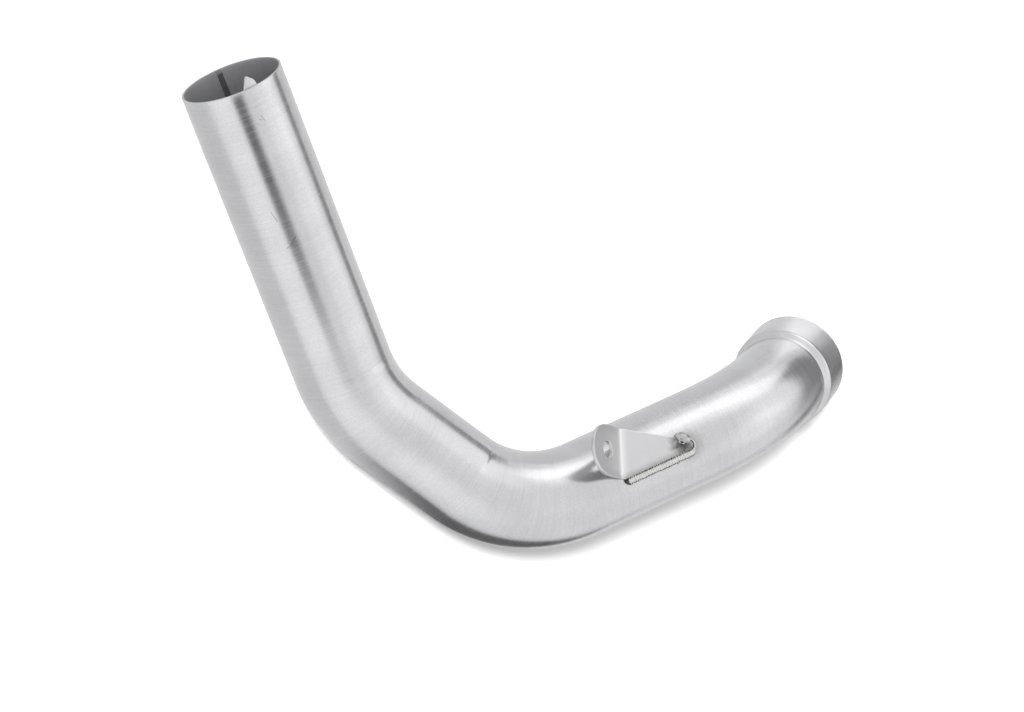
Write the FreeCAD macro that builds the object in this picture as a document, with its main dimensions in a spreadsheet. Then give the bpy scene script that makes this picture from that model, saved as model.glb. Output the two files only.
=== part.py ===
"""Motorcycle decat pipe: one mandrel-bent steel tube with a plain inlet, an expanded outlet socket,
a folded hanger bracket welded to its side and a small locating tab welded inside its mouth.

Millimetres, +Z up. The pipe lies as it comes to rest, bracket side up, on the outer side of its first
bend and on the rim of its socket. The origin is on the floor, under the middle of the pipe's box, and +X
runs from the inlet towards the socket.
"""
import FreeCAD, Part
import math
import os

import Sketcher
from FreeCAD import Placement, Rotation, Vector

SIZES = (
    ("tube_od", 50.8, "outside diameter of the tube, two inch stock"),
    ("tube_wall", 1.0, "wall of the tube"),
    ("inlet_run", 161.0, "straight from the inlet's rim to the first bend"),
    ("bend_1_angle", 30.0, "first bend"),
    ("bend_radius", 76.2, "centreline radius of the first two bends, one and a half diameters"),
    ("middle_run", 50.0, "straight between the first two bends"),
    ("twist_1", -15.0, "turn of the second bend's plane out of the first one's"),
    ("bend_2_angle", 56.5, "second bend"),
    ("bracket_run", 71.0, "straight that carries the bracket"),
    ("twist_2", -90.0, "turn of the third bend's plane out of the second one's"),
    ("bend_3_angle", 41.0, "third bend"),
    ("outlet_radius", 101.6, "centreline radius of the third bend, two diameters"),
    ("outlet_run", 2.0, "straight before the tube widens"),
    ("flare_run", 3.5, "length of the cone that widens the tube"),
    ("flare_round", 1.6, "radius that eases the cone into tube and socket"),
    ("socket_bore", 54.4, "inside diameter of the socket, for a 54 mm pipe"),
    ("socket_depth", 22.0, "length of the socket past the cone"),
    ("sheet", 2.0, "thickness of the bracket"),
    ("bracket_width", 27.0, "width of the bracket at its fold"),
    ("web_reach", 35.3, "from the fold to the middle of the welded web's round tip"),
    ("tip_side", 5.6, "how far the tip lies off the middle of the fold, away from the welded edge"),
    ("tip_round", 2.6, "radius of the web's tip"),
    ("fold_angle", 42.0, "how far the ear is folded up from the web"),
    ("fold_round", 4.6, "inside radius of the fold"),
    ("ear_reach", 10.9, "from the fold to the middle of the ear's hole"),
    ("hole_bore", 9.0, "hole for an M8 bolt"),
    ("bracket_start", 13.4, "from the second bend to the bracket's lower corner"),
    ("bracket_turn", -24.8, "turn of the bracket round the tube, from the second bend's axis"),
    ("edge_drop", 7.9, "how far the welded edge lies below the line where web and tube touch"),
    ("weld_radius", 2.8, "radius of the round-backed bead along the welded edge"),
    ("weld_out", 0.4, "how far the middle of that bead lies outside the edge"),
    ("weld_depth", 3.1, "how far the middle of that bead lies below the sheet's outer face"),
    ("tip_weld_out", 1.9, "how far the thin bead round the tip reaches out from the sheet's edge"),
    ("tip_weld_rise", 1.7, "how far that bead rises up the sheet's edge"),
    ("tip_weld_sink", 1.2, "how far its foot lies below the sheet, down to the round tube"),
    ("tack_length", 7.2, "length of the tack that closes the tip weld"),
    ("tack_width", 4.6, "width of that tack"),
    ("tack_back", 3.4, "how far the middle of that tack lies back from the round of the tip"),
    ("tack_out", 1.2, "how far the middle of that tack lies outside the free edge"),
    ("tab_width", 7.4, "width of the locating tab"),
    ("tab_sheet", 1.5, "thickness of the locating tab"),
    ("tab_rise", 5.6, "how far the tab's point stands out of the mouth"),
    ("tab_depth", 12.0, "how far the tab reaches into the mouth"),
    ("tab_point", 0.9, "radius of the tab's point"),
    ("tab_turn", 75.3, "turn of the tab round the mouth, from the first bend's inner side"),
    ("tab_bead", 1.1, "radius of the beads along the tab's sides"),
    ("tab_bead_run", 8.4, "length of those beads"),
)

doc = FreeCAD.newDocument("DecatPipe")
sheet = doc.addObject("Spreadsheet::Sheet", "Sizes")

BEND_STEP = 0.5     # degrees between the rings that stand for a bend when the pipe is laid down
FIRST_TILT = 8.0    # degrees that the pipe is tipped by at first in the search for its rest
LAST_TILT = 0.002   # degrees at which that search ends
HEADINGS = 72       # ways in which it is tipped each time
SPARE = 6.0         # how far the tab's sleeve runs past the tab at each end
TOUCH = 1e-4        # distance under which two places are the same
X_AXIS = Vector(1, 0, 0)
Y_AXIS = Vector(0, 1, 0)
Z_AXIS = Vector(0, 0, 1)


def fill_sheet():
    """Write each size, its note and its alias into the spreadsheet."""
    for row, (name, value, note) in enumerate(SIZES, start=1):
        sheet.set(f"A{row}", note)
        sheet.set(f"B{row}", str(value))
        sheet.setAlias(f"B{row}", name)
    doc.recompute()


def size(name):
    """A size's number, read back from the sheet."""
    return float(sheet.get(name))


def moved(place, x=0.0, y=0.0, z=0.0):
    """The placement shifted along its own axes."""
    return place.multiply(Placement(Vector(x, y, z), Rotation()))


def turned(place, axis, angle):
    """The placement turned about one of its own axes."""
    return place.multiply(Placement(Vector(), Rotation(axis, angle)))


def bent(place, angle, radius):
    """The placement carried round a bend about its own Z, whose centre lies along its own Y."""
    centre = moved(place, y=radius)
    return moved(turned(centre, Z_AXIS, angle), y=-radius)


# Route of the tube

BENDS = (
    ("bend_1", "bend_1_angle", "bend_radius"),
    ("bend_2", "bend_2_angle", "bend_radius"),
    ("bend_3", "bend_3_angle", "outlet_radius"),
)


def route(start):
    """Placements along the centreline. X runs down the pipe and Z is the axis of the coming bend."""
    at = {"inlet": start}
    at["bend_1"] = moved(start, x=size("inlet_run"))
    at["middle"] = bent(at["bend_1"], size("bend_1_angle"), size("bend_radius"))
    at["bend_2"] = turned(moved(at["middle"], x=size("middle_run")), X_AXIS, size("twist_1"))
    at["bracket"] = bent(at["bend_2"], size("bend_2_angle"), size("bend_radius"))
    at["bend_3"] = turned(moved(at["bracket"], x=size("bracket_run")), X_AXIS, size("twist_2"))
    at["outlet"] = bent(at["bend_3"], size("bend_3_angle"), size("outlet_radius"))
    at["flare"] = moved(at["outlet"], x=size("outlet_run"))
    at["socket"] = moved(at["flare"], x=size("flare_run"))
    at["rim"] = moved(at["socket"], x=size("socket_depth"))
    return at


def centreline(at):
    """Straight runs joined by tangent arcs, from the inlet to the start of the flare."""
    def straight(first, last):
        return Part.LineSegment(at[first].Base, at[last].Base).toShape()

    def arc(first, last, angle, radius):
        middle = bent(at[first], size(angle) / 2, size(radius))
        return Part.Arc(at[first].Base, middle.Base, at[last].Base).toShape()

    return Part.Wire([
        straight("inlet", "bend_1"),
        arc("bend_1", "middle", "bend_1_angle", "bend_radius"),
        straight("middle", "bend_2"),
        arc("bend_2", "bracket", "bend_2_angle", "bend_radius"),
        straight("bracket", "bend_3"),
        arc("bend_3", "outlet", "bend_3_angle", "outlet_radius"),
        straight("outlet", "flare"),
    ])


# Resting pose

def ring(place, radius):
    """A circle round the centreline: its centre, its axis and its radius."""
    return place.Base, place.Rotation.multVec(X_AXIS), radius


def belly_rings(at):
    """Circles round the tube at close steps along its bends. Straight runs lie between them."""
    tube_radius = size("tube_od") / 2
    rings = []
    for station, angle, radius in BENDS:
        steps = max(2, math.ceil(size(angle) / BEND_STEP))
        for step in range(steps + 1):
            place = bent(at[station], size(angle) * step / steps, size(radius))
            rings.append(ring(place, tube_radius))
    return rings


def furthest(rings, direction):
    """The point of the rings that reaches furthest along a direction."""
    points = []
    for centre, axis, radius in rings:
        across = direction - axis * direction.dot(axis)
        points.append(centre + across * (radius / across.Length))
    return max(points, key=lambda point: point.dot(direction))


def centre_of_mass(at):
    """Centre of the tube's length, with the bracket's sheet counted as a run of tube at its fold."""
    tube = Part.Wire(centreline(at).Edges + [Part.makeLine(at["flare"].Base, at["rim"].Base)])
    width = size("bracket_width")
    plate = width * (size("web_reach") / 2 + size("ear_reach")) + math.pi * width ** 2 / 8
    section = math.pi * size("tube_wall") * (size("tube_od") - size("tube_wall"))
    bracket_run = plate * size("sheet") / section
    moment = tube.CenterOfMass * tube.Length + bracket_place(at).Base * bracket_run
    return moment / (tube.Length + bracket_run)


def way_down(rings, centre):
    """The direction that, turned downwards, brings the centre of mass lowest above the floor."""
    def height(down):
        return (furthest(rings, down) - centre).dot(down)

    down = Z_AXIS * -1
    tilt = FIRST_TILT
    while tilt > LAST_TILT:
        side = down.cross(X_AXIS).normalize()
        tipped = Rotation(side, tilt).multVec(down)
        tries = [Rotation(down, index * 360 / HEADINGS).multVec(tipped) for index in range(HEADINGS)]
        lowest = min(tries, key=height)
        if height(lowest) < height(down):
            down = lowest
        else:
            tilt /= 2
    return down


def resting(at):
    """Where the inlet goes once the pipe lies still, with its box over the origin."""
    rings = belly_rings(at)
    rings.append(ring(at["inlet"], size("tube_od") / 2))
    rings.append(ring(at["rim"], size("socket_bore") / 2 + size("tube_wall")))
    down = way_down(rings, centre_of_mass(at))
    up = down * -1
    along = at["rim"].Base - at["inlet"].Base
    along = (along - up * along.dot(up)).normalize()
    lay = Rotation(along, up.cross(along), up, "ZXY").inverted()
    middle = Z_AXIS * furthest(rings, down).dot(up)
    for world, own in ((X_AXIS, along), (Y_AXIS, up.cross(along))):
        high = furthest(rings, own).dot(own)
        low = furthest(rings, own * -1).dot(own)
        middle += world * ((high + low) / 2)
    return Placement(middle * -1, lay)


# Helpers for bodies and sketches

def new_body(label):
    """An empty body with its label."""
    body = doc.addObject("PartDesign::Body", label)
    body.Label = label
    return body


def new_sketch(body, name, place):
    """A sketch on the body's XY plane, carried to its place by its attachment offset."""
    sketch = body.newObject("Sketcher::SketchObject", name)
    plane = next(item for item in body.Origin.OriginFeatures if item.Role == "XY_Plane")
    sketch.AttachmentSupport = [(plane, "")]
    sketch.MapMode = "FlatFace"
    sketch.AttachmentOffset = place
    return sketch


def dimension(sketch, name, kind, items, value, formula):
    """A named dimension of a sketch, bound to the sheet by a formula of its cells."""
    index = sketch.addConstraint(Sketcher.Constraint(kind, *items, value))
    sketch.renameConstraint(index, name)
    sketch.setExpression(f"Constraints.{name}", formula)


def polygon(sketch, corners):
    """A closed outline of straight lines, its ends joined in order."""
    count = len(corners)
    for index, corner in enumerate(corners):
        sketch.addGeometry(Part.LineSegment(Vector(*corner, 0), Vector(*corners[(index + 1) % count], 0)))
    for index in range(count):
        sketch.addConstraint(Sketcher.Constraint("Coincident", index, 2, (index + 1) % count, 1))


def pad(body, sketch, name, thickness):
    """The sketch thickened along its own normal."""
    plate = body.newObject("PartDesign::Pad", name)
    plate.Profile = sketch
    plate.setExpression("Length", f"Sizes.{thickness}")
    return plate


def circles_at(shape, place, across):
    """Names of the shape's full circles in the plane across a placement's X, for the given radii."""
    normal = place.Rotation.multVec(X_AXIS)
    names = []
    for index, edge in enumerate(shape.Edges, start=1):
        if not isinstance(edge.Curve, Part.Circle):
            continue
        level = (edge.Curve.Center - place.Base).dot(normal)
        if abs(level) < TOUCH and any(abs(edge.Curve.Radius - radius) < TOUCH for radius in across):
            names.append(f"Edge{index}")
    return names


# Pipe

def make_pipe(at):
    """The bent tube with its socket: a ring carried down the route, then the widened end."""
    body = new_body("pipe")
    spine = doc.addObject("Part::Feature", "centreline")
    spine.Shape = centreline(at)

    section = new_sketch(body, "tube_section", turned(at["inlet"], Y_AXIS, 90))
    tube_radius = size("tube_od") / 2
    for radius in (tube_radius, tube_radius - size("tube_wall")):
        circle = section.addGeometry(Part.Circle(Vector(), Z_AXIS, radius))
        section.addConstraint(Sketcher.Constraint("Coincident", circle, 3, -1, 1))
    dimension(section, "outside", "Radius", (0,), tube_radius, "Sizes.tube_od / 2")
    dimension(section, "inside", "Radius", (1,), tube_radius - size("tube_wall"),
              "Sizes.tube_od / 2 - Sizes.tube_wall")

    tube = body.newObject("PartDesign::AdditivePipe", "bent_tube")
    tube.Profile = section
    tube.Spine = (spine, [f"Edge{index}" for index in range(1, len(spine.Shape.Edges) + 1)])
    tube.Mode = "Frenet"
    doc.recompute()

    add_socket(body, at)
    return body


def add_socket(body, at):
    """The widened end, turned about the outlet's axis, with its cone eased into tube and socket."""
    wall = size("tube_wall")
    outer = size("tube_od") / 2
    bore = size("socket_bore") / 2
    flare = size("flare_run")
    end = flare + size("socket_depth")
    section = new_sketch(body, "socket_section", at["flare"])
    polygon(section, ((0, outer), (flare, bore + wall), (end, bore + wall),
                      (end, bore), (flare, bore), (0, outer - wall)))
    for index in (1, 3):
        section.addConstraint(Sketcher.Constraint("Horizontal", index))
    for index in (2, 5):
        section.addConstraint(Sketcher.Constraint("Vertical", index))
    section.addConstraint(Sketcher.Constraint("Vertical", 1, 1, 4, 1))
    section.addConstraint(Sketcher.Constraint("PointOnObject", 0, 1, -2))
    dimension(section, "tube_outside", "DistanceY", (-1, 1, 0, 1), outer, "Sizes.tube_od / 2")
    dimension(section, "tube_inside", "DistanceY", (-1, 1, 5, 1), outer - wall,
              "Sizes.tube_od / 2 - Sizes.tube_wall")
    dimension(section, "socket_outside", "DistanceY", (-1, 1, 1, 1), bore + wall,
              "Sizes.socket_bore / 2 + Sizes.tube_wall")
    dimension(section, "socket_inside", "DistanceY", (-1, 1, 3, 1), bore, "Sizes.socket_bore / 2")
    dimension(section, "cone", "DistanceX", (-1, 1, 1, 1), flare, "Sizes.flare_run")
    dimension(section, "depth", "DistanceX", (1, 1, 1, 2), end - flare, "Sizes.socket_depth")
    doc.recompute()

    socket = body.newObject("PartDesign::Revolution", "socket")
    socket.Profile = section
    socket.ReferenceAxis = (section, ["H_Axis"])
    socket.Angle = 360
    doc.recompute()

    foot = circles_at(socket.Shape, at["flare"], (outer, outer - wall))
    shoulder = circles_at(socket.Shape, at["socket"], (bore, bore + wall))
    easing = body.newObject("PartDesign::Fillet", "socket_easing")
    easing.Base = (socket, foot + shoulder)
    easing.setExpression("Radius", "Sizes.flare_round")
    body.Tip = easing
    doc.recompute()


def tube_bar(name, at, station, run, radius):
    """A solid bar along one straight run, used to trim what is welded to the tube there."""
    bar = doc.addObject("Part::Cylinder", name)
    bar.setExpression("Radius", radius)
    bar.setExpression("Height", f"Sizes.{run}")
    bar.Placement = turned(at[station], Y_AXIS, 90)
    return bar


# Hanger bracket

def edge_slopes():
    """Angles of the web's welded edge and of its free edge, from square to the fold.

    Each edge leaves a corner of the fold and touches the round tip.
    """
    slopes = []
    for side in (-1, 1):
        across = size("tip_side") - side * size("bracket_width") / 2
        to_tip = math.hypot(size("web_reach"), across)
        angle = math.atan2(across, size("web_reach")) + side * math.asin(size("tip_round") / to_tip)
        slopes.append(math.degrees(angle))
    return slopes


def bracket_place(at):
    """Frame of the web: on its tube side at the fold, X away from the ear, Z away from the tube.

    The web touches the tube along one line. It is turned in its own plane until its welded edge is
    parallel to the tube.
    """
    welded = edge_slopes()[0]
    touch = turned(moved(at["bracket"], x=size("bracket_start")), X_AXIS, size("bracket_turn"))
    corner = moved(touch, y=-size("edge_drop"), z=size("tube_od") / 2)
    return moved(turned(corner, Z_AXIS, -welded), y=size("bracket_width") / 2)


def tip_place(web):
    """The web's frame carried to the middle of its round tip."""
    return moved(web, x=size("web_reach"), y=size("tip_side"))


def ear_place(web):
    """Frame of the ear: the web's frame carried round the fold."""
    level = size("sheet") + size("fold_round")
    return moved(turned(moved(web, z=level), Y_AXIS, size("fold_angle")), z=-level)


def draw_web(body, web):
    """Web outline: full width at the fold, edges that taper to a round tip off its middle."""
    half = size("bracket_width") / 2
    tip = size("tip_round")
    centre = (size("web_reach"), size("tip_side"))
    first, last = (math.radians(slope) for slope in edge_slopes())
    low = (centre[0] + tip * math.sin(first), centre[1] - tip * math.cos(first))
    high = (centre[0] - tip * math.sin(last), centre[1] + tip * math.cos(last))
    sketch = new_sketch(body, "web_outline", web)
    sketch.addGeometry(Part.LineSegment(Vector(0, half, 0), Vector(0, -half, 0)))
    sketch.addGeometry(Part.LineSegment(Vector(0, -half, 0), Vector(*low, 0)))
    round_tip = Part.Circle(Vector(*centre, 0), Z_AXIS, tip)
    sketch.addGeometry(Part.ArcOfCircle(round_tip, first - math.pi / 2, last + math.pi / 2))
    sketch.addGeometry(Part.LineSegment(Vector(*high, 0), Vector(0, half, 0)))
    for one, start, other, end in ((0, 2, 1, 1), (3, 2, 0, 1)):
        sketch.addConstraint(Sketcher.Constraint("Coincident", one, start, other, end))
    for one, start, other, end in ((1, 2, 2, 1), (2, 2, 3, 1)):
        sketch.addConstraint(Sketcher.Constraint("Tangent", one, start, other, end))
    sketch.addConstraint(Sketcher.Constraint("Symmetric", 0, 1, 0, 2, -1, 1))
    sketch.addConstraint(Sketcher.Constraint("Vertical", 0))
    dimension(sketch, "width", "DistanceY", (0, 2, 0, 1), 2 * half, "Sizes.bracket_width")
    dimension(sketch, "tip", "Radius", (2,), tip, "Sizes.tip_round")
    dimension(sketch, "reach", "DistanceX", (-1, 1, 2, 3), centre[0], "Sizes.web_reach")
    dimension(sketch, "side", "DistanceY", (-1, 1, 2, 3), centre[1], "Sizes.tip_side")
    return sketch


def draw_fold(body, web):
    """Section of the sheet at the fold, its sketch's X axis on the axis of the fold."""
    half = size("bracket_width") / 2
    inner = size("fold_round")
    outer = inner + size("sheet")
    axis = turned(turned(moved(web, z=outer), Z_AXIS, 90), X_AXIS, 90)
    sketch = new_sketch(body, "fold_section", axis)
    polygon(sketch, ((-half, -inner), (half, -inner), (half, -outer), (-half, -outer)))
    sketch.addConstraint(Sketcher.Constraint("Horizontal", 2))
    for index in (1, 3):
        sketch.addConstraint(Sketcher.Constraint("Vertical", index))
    sketch.addConstraint(Sketcher.Constraint("Symmetric", 0, 1, 0, 2, -2))
    dimension(sketch, "width", "DistanceX", (0, 1, 0, 2), 2 * half, "Sizes.bracket_width")
    dimension(sketch, "inner", "DistanceY", (0, 1, -1, 1), inner, "Sizes.fold_round")
    dimension(sketch, "thickness", "DistanceY", (1, 2, 1, 1), outer - inner, "Sizes.sheet")
    return sketch


def draw_ear(body, ear):
    """Ear outline: straight sides, a full round end and the bolt hole at its centre."""
    half = size("bracket_width") / 2
    reach = size("ear_reach")
    sketch = new_sketch(body, "ear_outline", ear)
    sketch.addGeometry(Part.LineSegment(Vector(0, -half, 0), Vector(0, half, 0)))
    sketch.addGeometry(Part.LineSegment(Vector(0, half, 0), Vector(-reach, half, 0)))
    round_end = Part.Circle(Vector(-reach, 0, 0), Z_AXIS, half)
    sketch.addGeometry(Part.ArcOfCircle(round_end, math.pi / 2, 3 * math.pi / 2))
    sketch.addGeometry(Part.LineSegment(Vector(-reach, -half, 0), Vector(0, -half, 0)))
    sketch.addGeometry(Part.Circle(Vector(-reach, 0, 0), Z_AXIS, size("hole_bore") / 2))
    for first, start, second, end in ((0, 2, 1, 1), (3, 2, 0, 1)):
        sketch.addConstraint(Sketcher.Constraint("Coincident", first, start, second, end))
    for first, start, second, end in ((1, 2, 2, 1), (2, 2, 3, 1)):
        sketch.addConstraint(Sketcher.Constraint("Tangent", first, start, second, end))
    sketch.addConstraint(Sketcher.Constraint("Vertical", 0))
    sketch.addConstraint(Sketcher.Constraint("PointOnObject", 0, 1, -2))
    sketch.addConstraint(Sketcher.Constraint("PointOnObject", 2, 3, -1))
    sketch.addConstraint(Sketcher.Constraint("Horizontal", 1))
    sketch.addConstraint(Sketcher.Constraint("Coincident", 4, 3, 2, 3))
    sketch.addConstraint(Sketcher.Constraint("Horizontal", 3))
    dimension(sketch, "end", "Radius", (2,), half, "Sizes.bracket_width / 2")
    dimension(sketch, "reach", "DistanceX", (2, 3, -1, 1), reach, "Sizes.ear_reach")
    dimension(sketch, "hole", "Radius", (4,), size("hole_bore") / 2, "Sizes.hole_bore / 2")
    return sketch


def make_bracket(at):
    """The folded sheet: a tapered web, a bend and a round ear, all of one thickness."""
    web = bracket_place(at)
    body = new_body("hanger_bracket")
    pad(body, draw_web(body, web), "web", "sheet")
    doc.recompute()
    fold_section = draw_fold(body, web)
    fold = body.newObject("PartDesign::Revolution", "fold")
    fold.Profile = fold_section
    fold.ReferenceAxis = (fold_section, ["H_Axis"])
    fold.setExpression("Angle", "Sizes.fold_angle")
    doc.recompute()
    ear = pad(body, draw_ear(body, ear_place(web)), "ear", "sheet")
    body.Tip = ear
    doc.recompute()
    return body


# Welds of the bracket

def fused(name, items):
    """One solid made of several."""
    whole = doc.addObject("Part::MultiFuse", name)
    whole.Shapes = items
    return whole


def trimmed(label, base, tool):
    """A sub-part: what is left of a form once its neighbours are taken out of it."""
    rest = doc.addObject("Part::Cut", label)
    rest.Label = label
    rest.Base = base
    rest.Tool = tool
    return rest


def round_rod(name, start, run, radius):
    """A cylinder along a placement's X, for a given run, and a ball at each of its ends."""
    rod = doc.addObject("Part::Cylinder", f"{name}_rod")
    rod.setExpression("Radius", radius)
    rod.Height = run
    rod.Placement = turned(start, Y_AXIS, 90)
    pieces = [rod]
    for end, place in (("start", start), ("end", moved(start, x=run))):
        ball = doc.addObject("Part::Sphere", f"{name}_{end}")
        ball.setExpression("Radius", radius)
        ball.Placement = place
        pieces.append(ball)
    return pieces


def make_side_weld(at, bar, bracket):
    """The thick bead along the web's welded edge, which fills the gap down to the round tube."""
    half = size("bracket_width") / 2
    radius = size("weld_radius")
    corner = turned(moved(bracket_place(at), y=-half), Z_AXIS, edge_slopes()[0])
    start = moved(corner, x=radius, y=-size("weld_out"), z=size("sheet") - size("weld_depth"))
    to_tip = math.hypot(size("web_reach"), size("tip_side") + half)
    run = math.sqrt(to_tip ** 2 - size("tip_round") ** 2) - radius
    whole = fused("side_weld_whole", round_rod("side_weld", start, run, "Sizes.weld_radius"))
    return trimmed("side_weld", whole, fused("side_weld_seat", [bar, bracket]))


def make_tip_weld(at, bar, bracket, side_weld):
    """The thin fillet weld round the web's tip and the tack that ends it on the free edge."""
    tip = tip_place(bracket_place(at))
    welded, free = edge_slopes()
    bead = doc.addObject("Part::Cone", "tip_weld_fillet")
    bead.setExpression("Radius1", "Sizes.tip_round + Sizes.tip_weld_out")
    bead.setExpression("Radius2", "Sizes.tip_round")
    bead.setExpression("Height", "Sizes.tip_weld_sink + Sizes.tip_weld_rise")
    bead.Angle = 180 - welded + free
    bead.Placement = turned(moved(tip, z=-size("tip_weld_sink")), Z_AXIS, welded - 90)
    on_edge = turned(tip, Z_AXIS, free)
    run = size("tack_length") - size("tack_width")
    back = size("tack_back") + run / 2
    out = size("tip_round") + size("tack_out")
    tack_start = moved(on_edge, x=-back, y=out, z=size("sheet") / 2)
    whole = fused("tip_weld_whole", [bead] + round_rod("tack", tack_start, run, "Sizes.tack_width / 2"))
    return trimmed("tip_weld", whole, fused("tip_weld_seat", [bar, bracket, side_weld]))


# Locating tab in the mouth

def tab_frame(at):
    """Frame of the tab: at the mouth's rim, X out of the mouth, Z away from the pipe's axis."""
    round_mouth = turned(at["inlet"], X_AXIS, size("tab_turn") - 90)
    return turned(round_mouth, Z_AXIS, 180)


def make_tab(at):
    """A small pointed plate that follows the inside of the wall and stands a little out of the mouth."""
    body = new_body("tab_blank")
    frame = tab_frame(at)
    half = size("tab_width") / 2
    rise = size("tab_rise")
    depth = size("tab_depth")
    point = size("tab_point")
    flank = math.atan2(rise, half)
    touch = (rise - point + point * math.cos(flank), point * math.sin(flank))
    sketch = new_sketch(body, "tab_outline", frame)
    sketch.addGeometry(Part.LineSegment(Vector(-depth, -half, 0), Vector(-depth, half, 0)))
    sketch.addGeometry(Part.LineSegment(Vector(-depth, half, 0), Vector(0, half, 0)))
    sketch.addGeometry(Part.LineSegment(Vector(0, half, 0), Vector(touch[0], touch[1], 0)))
    nose = Part.Circle(Vector(rise - point, 0, 0), Z_AXIS, point)
    sketch.addGeometry(Part.ArcOfCircle(nose, -flank, flank))
    sketch.addGeometry(Part.LineSegment(Vector(touch[0], -touch[1], 0), Vector(0, -half, 0)))
    sketch.addGeometry(Part.LineSegment(Vector(0, -half, 0), Vector(-depth, -half, 0)))
    for first, start, second, end in ((0, 2, 1, 1), (1, 2, 2, 1), (4, 2, 5, 1), (5, 2, 0, 1)):
        sketch.addConstraint(Sketcher.Constraint("Coincident", first, start, second, end))
    for first, start, second, end in ((3, 2, 2, 2), (3, 1, 4, 1)):
        sketch.addConstraint(Sketcher.Constraint("Tangent", first, start, second, end))
    sketch.addConstraint(Sketcher.Constraint("Vertical", 0))
    sketch.addConstraint(Sketcher.Constraint("Symmetric", 2, 1, 4, 2, -1, 1))
    sketch.addConstraint(Sketcher.Constraint("PointOnObject", 2, 1, -2))
    sketch.addConstraint(Sketcher.Constraint("Horizontal", 1))
    sketch.addConstraint(Sketcher.Constraint("Horizontal", 5))
    sketch.addConstraint(Sketcher.Constraint("PointOnObject", 3, 3, -1))
    dimension(sketch, "width", "DistanceY", (4, 2, 2, 1), 2 * half, "Sizes.tab_width")
    dimension(sketch, "depth", "DistanceX", (0, 1, -1, 1), depth, "Sizes.tab_depth")
    dimension(sketch, "nose", "Radius", (3,), point, "Sizes.tab_point")
    dimension(sketch, "rise", "DistanceX", (-1, 1, 3, 3), rise - point, "Sizes.tab_rise - Sizes.tab_point")
    block = pad(body, sketch, "tab_block", "tube_od")
    body.Tip = block
    doc.recompute()
    return curved_to_wall(at, body)


def curved_to_wall(at, block):
    """The tab's outline cut out of a thin sleeve that lies against the inside of the tube."""
    sleeves = []
    for name, radius in (("tab_outside", "Sizes.tube_od / 2 - Sizes.tube_wall"),
                         ("tab_inside", "Sizes.tube_od / 2 - Sizes.tube_wall - Sizes.tab_sheet")):
        sleeve = doc.addObject("Part::Cylinder", name)
        sleeve.setExpression("Radius", radius)
        sleeve.setExpression("Height", f"Sizes.tab_depth + Sizes.tab_rise + {2 * SPARE}")
        sleeve.Placement = turned(moved(at["inlet"], x=size("tab_depth") + SPARE), Y_AXIS, -90)
        sleeves.append(sleeve)
    wall = doc.addObject("Part::Cut", "tab_sleeve")
    wall.Base, wall.Tool = sleeves
    tab = doc.addObject("Part::Common", "locating_tab")
    tab.Label = "locating_tab"
    tab.Base = wall
    tab.Tool = block
    return tab


def make_tab_weld(at, tab):
    """Two short beads that hold the tab's sides to the wall, inside the mouth."""
    frame = tab_frame(at)
    inside = size("tube_od") / 2 - size("tube_wall")
    half_turn = math.degrees(math.asin(size("tab_width") / 2 / inside))
    rods = []
    for name, side in (("tab_bead_left", -1), ("tab_bead_right", 1)):
        around = turned(frame, X_AXIS, side * half_turn)
        foot = moved(around, x=-size("tab_depth"), y=-side * size("tab_bead") / 2, z=inside)
        rod = doc.addObject("Part::Cylinder", name)
        rod.setExpression("Radius", "Sizes.tab_bead")
        rod.setExpression("Height", "Sizes.tab_bead_run")
        rod.Placement = turned(foot, Y_AXIS, 90)
        rods.append(rod)
    bore = tube_bar("mouth_bar", at, "inlet", "inlet_run", "Sizes.tube_od / 2 - Sizes.tube_wall")
    held = doc.addObject("Part::Common", "tab_beads")
    held.Base = fused("tab_rods", rods)
    held.Tool = bore
    return trimmed("tab_weld", held, tab)


# Whole part

def check(nodes):
    """Stop unless every object is sound and every sub-part is one or more valid closed solids."""
    for item in doc.Objects:
        bad = [word for word in item.State if word in ("Invalid", "Error")]
        if bad:
            raise RuntimeError(f"{item.Name}: {item.State}")
    for name, node in nodes.items():
        shape = node.Shape
        if shape.isNull() or not shape.isValid() or not shape.Solids:
            raise RuntimeError(f"{name}: no valid solid")


def write(nodes):
    """One STEP file for each sub-part."""
    os.makedirs("parts", exist_ok=True)
    for name, node in nodes.items():
        node.Shape.exportStep(f"parts/{name}.step")
        print(f"{name}: {len(node.Shape.Solids)} solid, {node.Shape.Volume:.1f} mm3")


def main():
    """Build the sub-parts on the resting route, check them and write them."""
    fill_sheet()
    at = route(resting(route(Placement())))
    pipe = make_pipe(at)
    bracket = make_bracket(at)
    bar = tube_bar("bracket_bar", at, "bracket", "bracket_run", "Sizes.tube_od / 2")
    side_weld = make_side_weld(at, bar, bracket)
    tip_weld = make_tip_weld(at, bar, bracket, side_weld)
    tab = make_tab(at)
    tab_weld = make_tab_weld(at, tab)
    doc.recompute()
    nodes = {
        "pipe": pipe,
        "hanger_bracket": bracket,
        "side_weld": side_weld,
        "tip_weld": tip_weld,
        "locating_tab": tab,
        "tab_weld": tab_weld,
    }
    check(nodes)
    write(nodes)


main()
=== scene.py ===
"""Looks of a bent stainless link pipe: the tube, its hanger bracket, its welds and its locating tab.

Shapes are worked out in millimetres on numpy grids, in the pipe's own resting frame, and written in metres.
"""
import logging
import math
from dataclasses import dataclass, field
from enum import Enum

import bpy
import numpy as np
from mathutils import Matrix, Vector

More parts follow.
